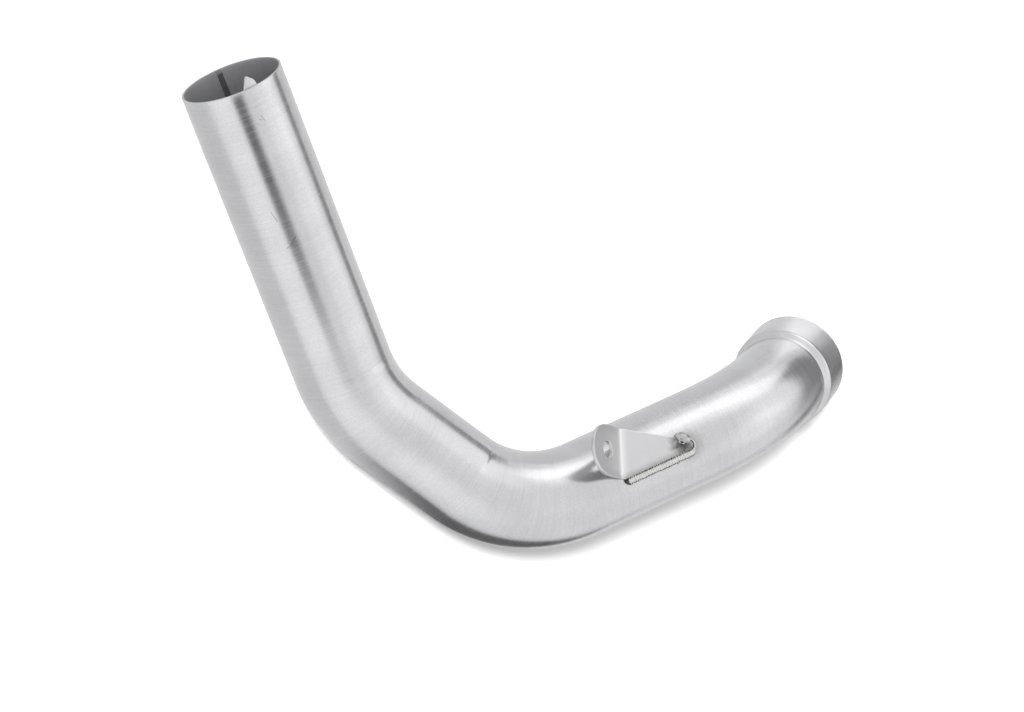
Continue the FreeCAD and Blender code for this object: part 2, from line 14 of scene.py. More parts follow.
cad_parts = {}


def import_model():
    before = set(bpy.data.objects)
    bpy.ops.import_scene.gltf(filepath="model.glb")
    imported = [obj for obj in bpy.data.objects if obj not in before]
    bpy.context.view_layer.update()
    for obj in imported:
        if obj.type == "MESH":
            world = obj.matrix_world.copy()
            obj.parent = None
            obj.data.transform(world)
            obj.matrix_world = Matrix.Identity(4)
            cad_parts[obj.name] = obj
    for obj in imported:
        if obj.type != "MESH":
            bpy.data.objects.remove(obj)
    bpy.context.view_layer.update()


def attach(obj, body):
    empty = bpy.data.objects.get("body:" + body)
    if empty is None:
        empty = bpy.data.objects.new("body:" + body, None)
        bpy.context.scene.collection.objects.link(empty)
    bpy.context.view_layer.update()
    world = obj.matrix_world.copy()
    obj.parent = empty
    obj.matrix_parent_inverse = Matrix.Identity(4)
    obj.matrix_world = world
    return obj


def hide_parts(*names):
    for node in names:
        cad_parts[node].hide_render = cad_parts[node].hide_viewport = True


LOG = logging.getLogger("decat_pipe")
MM = 0.001
FULL_TURN = 2 * math.pi
Tree = bpy.types.NodeTree
Node = bpy.types.Node
Socket = bpy.types.NodeSocket


class Axis(Enum):
    """The axes that a placement can turn about."""

    X = 0
    Y = 1
    Z = 2


class Slot(Enum):
    """Material slots of the record."""

    TUBE = "tube_steel"
    BRACKET = "bracket_steel"
    WELD = "weld_metal"


# Placements

@dataclass(frozen=True)
class Place:
    """A point and three square axes, the rows of a matrix, in the resting frame."""

    origin: np.ndarray
    axes: np.ndarray

    def world(self, points: np.ndarray) -> np.ndarray:
        """Points given along the axes, carried to the resting frame."""
        return self.origin + np.asarray(points, float) @ self.axes

    def local(self, points: np.ndarray) -> np.ndarray:
        """Points of the resting frame, given along the axes."""
        return (np.asarray(points, float) - self.origin) @ self.axes.T

    def moved(self, x: float = 0.0, y: float = 0.0, z: float = 0.0) -> "Place":
        """The placement shifted along its own axes."""
        return Place(self.world(np.array((x, y, z))), self.axes)

    def turned(self, axis: Axis, degrees: float) -> "Place":
        """The placement turned about one of its own axes.

        Args:
            axis: which axis stays.
            degrees: how far the other two turn, right-handed.

        Returns:
            The turned placement.
        """
        one, other = (axis.value + 1) % 3, (axis.value + 2) % 3
        cosine, sine = math.cos(math.radians(degrees)), math.sin(math.radians(degrees))
        axes = self.axes.copy()
        axes[one] = cosine * self.axes[one] + sine * self.axes[other]
        axes[other] = cosine * self.axes[other] - sine * self.axes[one]
        return Place(self.origin, axes)

    def bent(self, degrees: float, radius: float) -> "Place":
        """The placement carried round a bend about its own Z, whose centre lies along its own Y."""
        return self.moved(y=radius).turned(Axis.Z, degrees).moved(y=-radius)


@dataclass(frozen=True)
class Run:
    """One stretch of the tube's centreline: straight where its radius is zero."""

    start: Place
    first: float
    length: float
    radius: float
    twist: float


@dataclass
class Route:
    """The tube's centreline as it lies at rest, from the inlet's rim to the socket's rim."""

    inlet: Place = Place(
        np.array((-198.793, 67.761, 28.852)),
        np.array(((0.76057, -0.64891, -0.02113), (0.61684, 0.71212, 0.33523), (-0.20249, -0.26801, 0.94190))),
    )
    inlet_run: float = 161.0
    bend_1_angle: float = 30.0
    bend_radius: float = 76.2
    middle_run: float = 50.0
    twist_1: float = -15.0
    bend_2_angle: float = 56.5
    bracket_run: float = 71.0
    twist_2: float = -90.0
    bend_3_angle: float = 41.0
    outlet_radius: float = 101.6
    end_run: float = 27.5
    at: dict[str, Place] = field(default_factory=dict)
    starts: dict[str, float] = field(default_factory=dict)
    runs: list[Run] = field(default_factory=list)

    def __post_init__(self) -> None:
        """Lay the stretches end to end, each with its placement, its first length and its twist so far."""
        place, done, twist = self.inlet, 0.0, 0.0
        plan = (
            ("inlet", self.inlet_run, 0.0, 0.0),
            ("bend_1", self.bend_1_angle, self.bend_radius, 0.0),
            ("middle", self.middle_run, 0.0, 0.0),
            ("bend_2", self.bend_2_angle, self.bend_radius, self.twist_1),
            ("bracket", self.bracket_run, 0.0, 0.0),
            ("bend_3", self.bend_3_angle, self.outlet_radius, self.twist_2),
            ("outlet", self.end_run, 0.0, 0.0),
        )
        for name, amount, radius, turn in plan:
            place, twist = place.turned(Axis.X, turn), twist + turn
            length = math.radians(amount) * radius if radius else amount
            self.at[name], self.starts[name] = place, done
            self.runs.append(Run(place, done, length, radius, math.radians(twist)))
            place = place.bent(amount, radius) if radius else place.moved(x=amount)
            done += length
        self.length = done

    def tube_points(self, along: np.ndarray, around: np.ndarray, radius: np.ndarray) -> np.ndarray:
        """Points on a tube round the centreline.

        The centre goes along straights, and round an arc where the run bends: start + R(sin a X + (1 - cos a) Y).
        A point stands off it by its radius, along cos(t) Y + sin(t) Z, where t is the angle less the twist so far.

        Args:
            along: distances from the inlet's rim, of any shape.
            around: angles round the tube, in radians, that broadcast with them.
            radius: distances from the centreline, that broadcast with them.

        Returns:
            The points, with one axis more than the broadcast arrays.
        """
        along, around, radius = np.broadcast_arrays(along, around, radius)
        points = np.zeros(along.shape + (3,))
        for index, run in enumerate(self.runs):
            last = index == len(self.runs) - 1
            inside = (along >= run.first) if index else np.ones(along.shape, bool)
            if not last:
                inside = inside & (along < run.first + run.length)
            gone = (along - run.first)[..., None]
            x, y, z = run.start.axes
            if run.radius:
                angle = gone / run.radius
                centre = run.start.origin + run.radius * (np.sin(angle) * x + (1 - np.cos(angle)) * y)
                side = np.cos(angle) * y - np.sin(angle) * x
            else:
                centre = run.start.origin + gone * x
                side = y
            turn = (around - run.twist)[..., None]
            here = centre + radius[..., None] * (np.cos(turn) * side + np.sin(turn) * z)
            points = np.where(inside[..., None], here, points)
        return points


# Meshes

def circle(count: int) -> np.ndarray:
    """Evenly spaced angles round a circle, as one row."""
    return np.linspace(0, FULL_TURN, count, endpoint=False)[None, :]


def together(*parts: np.ndarray | float) -> np.ndarray:
    """Arrays broadcast to one shape and put side by side along a new last axis."""
    return np.stack(np.broadcast_arrays(*parts), axis=-1)


def eased(corners: np.ndarray, radii: np.ndarray, steps: int, closed: bool) -> np.ndarray:
    """A polyline with each corner rounded by an arc that touches both of its sides.

    The arc's ends lie r tan(half the turn) from the corner, and its points are the ends' tangents turned
    evenly from one to the other.

    Args:
        corners: the corners in order, two numbers each.
        radii: each corner's radius; zero keeps it sharp.
        steps: how many parts each arc has.
        closed: whether the last corner joins the first.

    Returns:
        The points of the rounded line.
    """
    corners = np.asarray(corners, float)
    pieces = []
    for index, (corner, radius) in enumerate(zip(corners, radii)):
        ends = not closed and index in (0, len(corners) - 1)
        if ends or radius <= 0:
            pieces.append(corner[None])
            continue
        into = corner - corners[index - 1]
        out = corners[(index + 1) % len(corners)] - corner
        into, out = into / np.linalg.norm(into), out / np.linalg.norm(out)
        turn = math.atan2(into[0] * out[1] - into[1] * out[0], float(into @ out))
        reach = radius * math.tan(abs(turn) / 2)
        side = math.copysign(1.0, turn)
        centre = corner - into * reach + side * radius * np.array((-into[1], into[0]))
        first = math.atan2(*(corner - into * reach - centre)[::-1])
        angles = first + turn * np.linspace(0, 1, steps + 1)
        pieces.append(centre + radius * np.stack((np.cos(angles), np.sin(angles)), axis=1))
    return np.concatenate(pieces)


def spread(line: np.ndarray, count: int, closed: bool) -> np.ndarray:
    """Points at even distances along a line.

    Args:
        line: the line's points.
        count: how many points to give.
        closed: whether the line runs back to its start.

    Returns:
        The new points, without the start repeated where the line is closed.
    """
    if closed:
        line = np.concatenate((line, line[:1]))
    lengths = np.concatenate(((0.0,), np.cumsum(np.linalg.norm(np.diff(line, axis=0), axis=1))))
    wanted = np.linspace(0, lengths[-1], count + 1)[:-1] if closed else np.linspace(0, lengths[-1], count)
    return np.stack([np.interp(wanted, lengths, line[:, axis]) for axis in range(line.shape[1])], axis=1)


def lumps(points: np.ndarray, size: float, seed: int) -> np.ndarray:
    """A smooth uneven height between about -1 and 1: a mean of sine waves in seeded directions.

    Args:
        points: where the height is wanted, in millimetres.
        size: the usual distance from one lump to the next.
        seed: picks the waves.

    Returns:
        One height for each point.
    """
    random = np.random.default_rng(seed)
    directions = random.normal(size=(9, 3))
    directions /= np.linalg.norm(directions, axis=1, keepdims=True)
    pitch = size * random.uniform(0.7, 1.5, 9)
    phases = random.uniform(0, FULL_TURN, 9)
    waves = np.sin(points @ (directions * (FULL_TURN / pitch)[:, None]).T + phases)
    return waves.sum(axis=-1) / 4.0


def linked(name: str, data: bpy.types.ID) -> bpy.types.Object:
    """A new object, at the origin, that the scene shows.

    Args:
        name: the object's name.
        data: its mesh, lamp or camera.

    Returns:
        The object.
    """
    made = bpy.data.objects.new(name, data)
    bpy.context.scene.collection.objects.link(made)
    return made


class Surface:
    """A grid of points that closes round itself in its second direction, made into one mesh."""

    def __init__(self, name: str, points: np.ndarray, ring: bool, marks: dict[str, np.ndarray]) -> None:
        """Keep the grid.

        Args:
            name: the finished object's name.
            points: rows of points in millimetres, rows x columns x 3; the columns close into loops.
            ring: whether the last row joins the first; otherwise both end rows are closed by a fan.
            marks: values for the materials, one array of rows x columns (x 3) for each attribute.
        """
        self.name, self.points, self.ring, self.marks = name, points, ring, marks

    def build(self) -> bpy.types.Object:
        """Write the mesh, with faces that point outwards, and link its object.

        Returns:
            The object, at the origin, unturned and unscaled.
        """
        rows, columns = self.points.shape[:2]
        flat = self.points.reshape(-1, 3)
        row = np.arange(rows if self.ring else rows - 1)[:, None]
        column = np.arange(columns)[None, :]
        after, beside = (row + 1) % rows, (column + 1) % columns
        quads = np.stack([part.ravel() for part in np.broadcast_arrays(
            row * columns + column, row * columns + beside, after * columns + beside, after * columns + column)], 1)
        faces = quads.tolist()
        if not self.ring:
            poles = np.stack((self.points[0].mean(axis=0), self.points[-1].mean(axis=0)))
            flat = np.concatenate((flat, poles))
            low, high = rows * columns, rows * columns + 1
            edge = np.arange(columns)
            other = (edge + 1) % columns
            top = (rows - 1) * columns
            faces += np.stack((np.full(columns, low), other, edge), axis=1).tolist()
            faces += np.stack((np.full(columns, high), top + edge, top + other), axis=1).tolist()
        corners = flat[quads]
        volume = np.einsum("ij,ij->i", corners[:, 0], np.cross(corners[:, 1], corners[:, 2])).sum()
        volume += np.einsum("ij,ij->i", corners[:, 0], np.cross(corners[:, 2], corners[:, 3])).sum()
        if volume < 0:
            faces = [face[::-1] for face in faces]
        mesh = bpy.data.meshes.new(self.name)
        mesh.from_pydata((flat * MM).tolist(), [], faces)
        mesh.polygons.foreach_set("use_smooth", np.ones(len(faces), bool))
        for mark, values in self.marks.items():
            vector = values.ndim == 3
            attribute = mesh.attributes.new(mark, "FLOAT_VECTOR" if vector else "FLOAT", "POINT")
            values = values.reshape(-1, 3) if vector else values.reshape(-1, 1)
            if not self.ring:
                tips = np.stack((values[:columns].mean(axis=0), values[-columns:].mean(axis=0)))
                values = np.concatenate((values, tips))
            attribute.data.foreach_set("vector" if vector else "value", values.astype(np.float32).ravel())
        mesh.update()
        LOG.info("%s: %d faces", self.name, len(faces))
        return linked(self.name, mesh)


def dress(piece: bpy.types.Object, material: bpy.types.Material, nodes: tuple[str, ...] = ()) -> None:
    """Give a piece its material, its body and the CAD nodes it stands for.

    Args:
        piece: the finished object.
        material: what it is made of.
        nodes: the CAD nodes that it replaces, if any.
    """
    piece.data.materials.append(material)
    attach(piece, "root")
    if nodes:
        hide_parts(*nodes)


# Finishes

def linear(code: str) -> tuple[float, float, float, float]:
    """An sRGB hex code as linear red, green, blue and full alpha.

    Args:
        code: six hex digits after a hash sign.

    Returns:
        Four numbers: v / 12.92 below 0.04045, else ((v + 0.055) / 1.055) to the power 2.4, and 1.
    """
    values = [int(code[index:index + 2], 16) / 255 for index in (1, 3, 5)]
    red, green, blue = (v / 12.92 if v <= 0.04045 else ((v + 0.055) / 1.055) ** 2.4 for v in values)
    return red, green, blue, 1.0


def add(tree: Tree, kind: str, settings: dict | None = None) -> Node:
    """Add a node with its settings and links.

    Args:
        tree: the tree that gets the node.
        kind: the node's type name, after "ShaderNode".
        settings: values by property name, or by input name or number. Where the value is a socket or a node,
            the input is linked to that socket, or to the node's first live output.

    Returns:
        The new node.
    """
    node = tree.nodes.new("ShaderNode" + kind)
    for key, value in (settings or {}).items():
        if isinstance(value, Node):
            value = next(output for output in value.outputs if output.enabled)
        if isinstance(value, Socket):
            tree.links.new(value, node.inputs[key])
        elif isinstance(key, str) and key in node.bl_rna.properties:
            setattr(node, key, value)
        else:
            node.inputs[key].default_value = value
    return node


def new_tree(name: str) -> tuple[bpy.types.Material, Tree]:
    """A material with an empty node tree.

    Args:
        name: the material's name.

    Returns:
        The material and its tree.
    """
    material = bpy.data.materials.new(name)
    material.use_nodes = True
    material.node_tree.nodes.clear()
    return material, material.node_tree


@dataclass(frozen=True)
class Scratch:
    """A fine straight scratch on the straightened tube: distances along it and angles round it, at both ends.

    It catches less of the light than the brushed wall round it, so it shows as a thin grey line.
    """

    along: tuple[float, float]
    around: tuple[float, float]
    width: float = 0.22
    strength: float = 0.8
    radius: float = 25.4

    def build(self, tree: Tree, flat: Socket) -> Node:
        """Add nodes that give 1 on the scratch and 0 off it, by the distance to the line between its ends.

        Args:
            tree: the material's tree.
            flat: the place on the straightened tube, in millimetres.

        Returns:
            The value's node.
        """
        turns = [math.radians(turn) for turn in self.around]
        ends = [Vector((along, self.radius * math.cos(turn), self.radius * math.sin(turn)))
                for along, turn in zip(self.along, turns)]
        way = ends[1] - ends[0]
        off = add(tree, "VectorMath", {"operation": "SUBTRACT", 0: flat, 1: tuple(ends[0])})
        gone = add(tree, "VectorMath", {"operation": "DOT_PRODUCT", 0: off, 1: tuple(way / way.length_squared)})
        kept = add(tree, "Math", {"operation": "ADD", "use_clamp": True, 0: gone, 1: 0.0})
        foot = add(tree, "VectorMath", {"operation": "SCALE", 0: tuple(way), "Scale": kept})
        away = add(tree, "VectorMath", {"operation": "DISTANCE", 0: off, 1: foot})
        mark = add(tree, "MapRange",
                   {"From Min": self.width, "From Max": 0.3 * self.width, "To Max": self.strength, "Value": away})
        return mark


# Handling scratches: three groups down the inlet and one before the socket
SCRATCHES = (
    Scratch((14.5, 17.5), (77.0, 75.0)),
    Scratch((16.0, 16.8), (80.0, 77.5)),
    Scratch((62.0, 67.0), (105.0, 102.0)),
    Scratch((82.0, 81.0), (104.0, 97.0)),
    Scratch((81.0, 77.5), (97.0, 89.0)),
    Scratch((458.0, 462.0), (150.0, 145.0)),
    Scratch((460.5, 464.0), (171.0, 165.0)),
    Scratch((461.0, 463.5), (192.0, 186.0), 0.3),
)


@dataclass(frozen=True)
class BrushedTube:
    """Stainless steel tube, bent and then brushed round its length with a fine belt.

    It gives a clear but soft image of the studio, drawn out by hairlines that run round the tube, with
    faint patches where the belt pressed harder and a few handling scratches.
    """

    name: str = "stainless_tube_belt_brushed"
    bright: str = "#cbcbcd"
    worn: str = "#c4c4c7"
    scratch: str = "#77777a"
    roughness: float = 0.2
    inner_roughness: float = 0.55
    inner_painted_shade: float = 0.96    # the inner wall mirrors less than the outside: painted shade, drawn darker
    heat_place: tuple[float, float, float] = (0.0, 0.0, 0.0)
    heat_reach: float = 0.011    # metres round the bracket's tip that the weld darkened
    heat_shade: float = 0.72
    scratches: tuple[Scratch, ...] = ()
    brush_pitch: float = 0.9     # real hairlines are 0.1 mm apart; drawn coarser, as 0.5 mm is one pixel
    brush_length: float = 60.0   # how far one hairline runs round the tube
    patch: float = 24.0          # the belt's own width
    grain: float = 0.8           # the sheet's own grain is 0.05 mm; drawn coarser for the same reason
    contrast: float = 0.09       # how much hairlines and grain lighten and darken it
    bump_depth: float = 0.00004
    mark: str = "straight"

    def build(self) -> bpy.types.Material:
        """Make the node tree. The pattern lies on the straightened tube, so it has no seam.

        Returns:
            The material.
        """
        material, tree = new_tree(self.name)
        flat = add(tree, "Attribute", {"attribute_name": self.mark}).outputs["Vector"]
        across, round_it = 1 / self.brush_pitch, 1 / self.brush_length
        hair = add(tree, "Mapping", {"Scale": (across, round_it, round_it), "Vector": flat})
        hairlines = add(tree, "TexNoise", {"Scale": 1.0, "Detail": 4.0, "Roughness": 0.7, "Vector": hair})
        wide = add(tree, "TexNoise", {"Scale": 1 / self.patch, "Detail": 3.0, "Roughness": 0.55, "Vector": flat})
        patches = add(tree, "MapRange", {"From Min": 0.35, "From Max": 0.7, "Value": wide})
        base = add(tree, "Mix", {"data_type": "RGBA", "Factor": patches, 6: linear(self.bright), 7: linear(self.worn)})
        fine = add(tree, "TexNoise", {"Scale": 1 / self.grain, "Detail": 2.0, "Vector": flat})
        speck = add(tree, "Math", {"operation": "ADD", 0: fine, 1: hairlines})
        shade = add(tree, "MapRange",
                    {"From Min": 0.6, "From Max": 1.4, "To Min": 1 - self.contrast, "To Max": 1 + self.contrast,
                     "Value": speck})
        grained = add(tree, "VectorMath", {"operation": "SCALE", 0: base, "Scale": shade})
        marks = 0.0
        for scratch in self.scratches:
            marks = add(tree, "Math", {"operation": "MAXIMUM", 0: marks, 1: scratch.build(tree, flat)})
        marked = add(tree, "Mix", {"data_type": "RGBA", "Factor": marks, 6: grained, 7: linear(self.scratch)})
        place = add(tree, "TexCoord").outputs["Object"]
        away = add(tree, "VectorMath", {"operation": "DISTANCE", 0: place, 1: self.heat_place})
        heat = add(tree, "MapRange",
                   {"interpolation_type": "SMOOTHSTEP", "From Min": self.heat_reach, "From Max": 0.3 * self.heat_reach,
                    "To Min": 1.0, "To Max": self.heat_shade, "Value": away})
        # painted shade: the inner wall's colour is scaled darker than the outside
        inside = add(tree, "Attribute", {"attribute_name": "inside"}).outputs["Fac"]
        inside_painted_shade = add(tree, "MapRange", {"To Min": 1.0, "To Max": self.inner_painted_shade, "Value": inside})
        both = add(tree, "Math", {"operation": "MULTIPLY", 0: heat, 1: inside_painted_shade})
        colour = add(tree, "VectorMath", {"operation": "SCALE", 0: marked, "Scale": both})
        least, most = self.roughness - 0.03, self.roughness + 0.05
        rough = add(tree, "MapRange",
                    {"From Min": 0.3, "From Max": 0.7, "To Min": least, "To Max": most, "Value": hairlines})
        dull = add(tree, "MapRange", {"To Max": self.inner_roughness, "Value": inside, "To Min": rough})
        bump = add(tree, "Bump", {"Strength": 0.3, "Distance": self.bump_depth, "Height": hairlines})
        shader = add(tree, "BsdfPrincipled", {"Metallic": 1.0, "Base Color": colour, "Roughness": dull, "Normal": bump})
        add(tree, "OutputMaterial", {"Surface": shader})
        return material


@dataclass(frozen=True)
class SatinSheet:
    """Cold rolled stainless sheet, laser cut, tumbled and lightly brushed after welding.

    Duller than the tube, with an even, finely grained sheen, and burnt dark where the weld's tack was struck. A lighter
    band along the fold is a painted highlight.
    """

    name: str = "stainless_sheet_tumbled_satin"
    bright: str = "#cfcfd0"
    worn: str = "#c5c5c7"
    # the colour of the painted highlight along the fold
    fold_highlight_colour: str = "#dedede"
    burnt: str = "#3e3c3b"
    roughness: float = 0.3
    grain: float = 0.7           # the tumbling's own grain is 0.1 mm; drawn coarser, as 0.5 mm is one pixel
    patch: float = 12.0
    burn_place: tuple[float, float, float] | None = None
    burn_reach: float = 0.013
    burn_core: float = 0.0035
    burn_ragged: float = 0.006
    burn_lump: float = 2.4
    fold_at: float | None = None
    fold_half: float = 4.6
    fold_core: float = 1.0
    fold_highlight_share: float = 0.75
    edge_place: tuple[float, float, float] | None = None
    edge_way: tuple[float, float, float] = (0.0, 0.0, 0.0)
    edge_reach: float = 0.006
    edge_core: float = 0.001
    edge_share: float = 0.45
    edge_ragged: float = 0.004

    def build(self) -> bpy.types.Material:
        """Make the node tree: two greys in patches, a fine grain in the gloss, a painted highlight along the fold, and
        what heat left.

        Returns:
            The material.
        """
        material, tree = new_tree(self.name)
        place = add(tree, "TexCoord").outputs["Object"]
        grain = add(tree, "TexNoise", {"Scale": 1 / (self.grain * MM), "Detail": 3.0, "Vector": place})
        wide = add(tree, "TexNoise", {"Scale": 1 / (self.patch * MM), "Detail": 2.0, "Vector": place})
        colour = add(tree, "Mix", {"data_type": "RGBA", "Factor": wide, 6: linear(self.bright), 7: linear(self.worn)})
        if self.fold_at is not None:
            colour = self.folded(tree, colour)
        if self.burn_place is not None:
            colour = self.burned(tree, colour, place)
        if self.edge_place is not None:
            colour = self.edged(tree, colour, place, grain)
        rough = add(tree, "MapRange",
                    {"To Min": self.roughness - 0.04, "To Max": self.roughness + 0.06, "Value": grain})
        bump = add(tree, "Bump", {"Strength": 0.25, "Distance": 0.00003, "Height": grain})
        shader = add(tree, "BsdfPrincipled",
                     {"Metallic": 1.0, "Base Color": colour, "Roughness": rough, "Normal": bump})
        add(tree, "OutputMaterial", {"Surface": shader})
        return material

    def folded(self, tree: Tree, colour: Node) -> Node:
        """Add a painted highlight along the fold: lighter by the distance from the fold's middle line.

        Args:
            tree: the material's tree.
            colour: the sheet's colour so far.

        Returns:
            The colour with the painted highlight.
        """
        flat = add(tree, "Attribute", {"attribute_name": "flat"}).outputs["Vector"]
        along = add(tree, "SeparateXYZ", {0: flat}).outputs["X"]
        off = add(tree, "Math", {"operation": "SUBTRACT", 0: along, 1: self.fold_at})
        gap = add(tree, "Math", {"operation": "ABSOLUTE", 0: off})
        painted_fold_highlight = add(tree, "MapRange",
                   {"interpolation_type": "SMOOTHSTEP", "From Min": self.fold_half, "From Max": self.fold_core,
                    "To Max": self.fold_highlight_share, "Value": gap})
        return add(tree, "Mix", {"data_type": "RGBA", "Factor": painted_fold_highlight, 6: colour, 7: linear(self.fold_highlight_colour)})

    def burned(self, tree: Tree, colour: Node, place: Socket) -> Node:
        """Add the burnt place round the tack, with an uneven edge.

        Args:
            tree: the material's tree.
            colour: the sheet's colour so far.
            place: Object coordinates.

        Returns:
            The colour with the burnt place.
        """
        away = add(tree, "VectorMath", {"operation": "DISTANCE", 0: place, 1: self.burn_place})
        soft = add(tree, "TexNoise", {"Scale": 1 / (self.burn_lump * MM), "Detail": 3.0, "Vector": place})
        uneven = add(tree, "Math", {"operation": "MULTIPLY_ADD", 0: soft, 1: self.burn_ragged, 2: away})
        heat = add(tree, "MapRange",
                   {"interpolation_type": "SMOOTHSTEP", "From Min": self.burn_reach, "From Max": self.burn_core,
                    "Value": uneven})
        return add(tree, "Mix", {"data_type": "RGBA", "Factor": heat, 6: colour, 7: linear(self.burnt)})

    def edged(self, tree: Tree, colour: Node, place: Socket, grain: Node) -> Node:
        """Add the heat tint along the welded edge, by the distance in from the edge's line.

        Args:
            tree: the material's tree.
            colour: the sheet's colour so far.
            place: Object coordinates.
            grain: the sheet's grain, which makes the tint ragged.

        Returns:
            The colour with the tint.
        """
        off = add(tree, "VectorMath", {"operation": "SUBTRACT", 0: place, 1: self.edge_place})
        inward = add(tree, "VectorMath", {"operation": "DOT_PRODUCT", 0: off, 1: self.edge_way})
        ragged = add(tree, "Math", {"operation": "MULTIPLY_ADD", 0: grain, 1: self.edge_ragged, 2: inward})
        warm = add(tree, "MapRange",
                   {"interpolation_type": "SMOOTHSTEP", "From Min": self.edge_reach, "From Max": self.edge_core,
                    "To Max": self.edge_share, "Value": ragged})
        return add(tree, "Mix", {"data_type": "RGBA", "Factor": warm, 6: colour, 7: linear(self.burnt)})


@dataclass(frozen=True)
class WeldMetal:
    """Stainless filler laid by an electric arc and wire-brushed.

    Light and bright on the ripples' tops; darker in the ripples' hollows and where it meets the sheets: partly oxide,
    partly painted shade.
    """

    name: str = "stainless_weld_wire_brushed"
    top: str = "#cfcfce"
    oxide_and_painted_shade: str = "#4a4846"
    roughness: float = 0.42
    grain: float = 0.9           # the skin's own scale is 0.2 mm; drawn coarser, as 0.5 mm is one pixel
    speckle: float = 0.9
    clean: float = 0.55          # the dark value and speckle together, up to which it is bare
    darkest_from: float = 1.15         # and from which it takes the dark colour: oxide and painted shade
    bump_depth: float = 0.00012
    mark: str = "oxide_and_painted_shade"

    def build(self) -> bpy.types.Material:
        """Make the node tree: the piece's own value of oxide and painted shade, with a fine grain, chooses between two
        greys.

        Returns:
            The material.
        """
        material, tree = new_tree(self.name)
        place = add(tree, "TexCoord").outputs["Object"]
        depth = add(tree, "Attribute", {"attribute_name": self.mark}).outputs["Fac"]
        grain = add(tree, "TexNoise",
                    {"Scale": 1 / (self.grain * MM), "Detail": 4.0, "Roughness": 0.7, "Vector": place})
        speckled = add(tree, "Math", {"operation": "MULTIPLY_ADD", 0: grain, 1: self.speckle, 2: depth})
        dark = add(tree, "MapRange",
                   {"interpolation_type": "SMOOTHSTEP", "From Min": self.clean, "From Max": self.darkest_from,
                    "Value": speckled})
        colour = add(tree, "Mix", {"data_type": "RGBA", "Factor": dark, 6: linear(self.top), 7: linear(self.oxide_and_painted_shade)})
        bump = add(tree, "Bump", {"Strength": 0.6, "Distance": self.bump_depth, "Height": grain})
        shader = add(tree, "BsdfPrincipled",
                     {"Metallic": 1.0, "Roughness": self.roughness, "Base Color": colour, "Normal": bump})
        add(tree, "OutputMaterial", {"Surface": shader})
        return material


# Tube

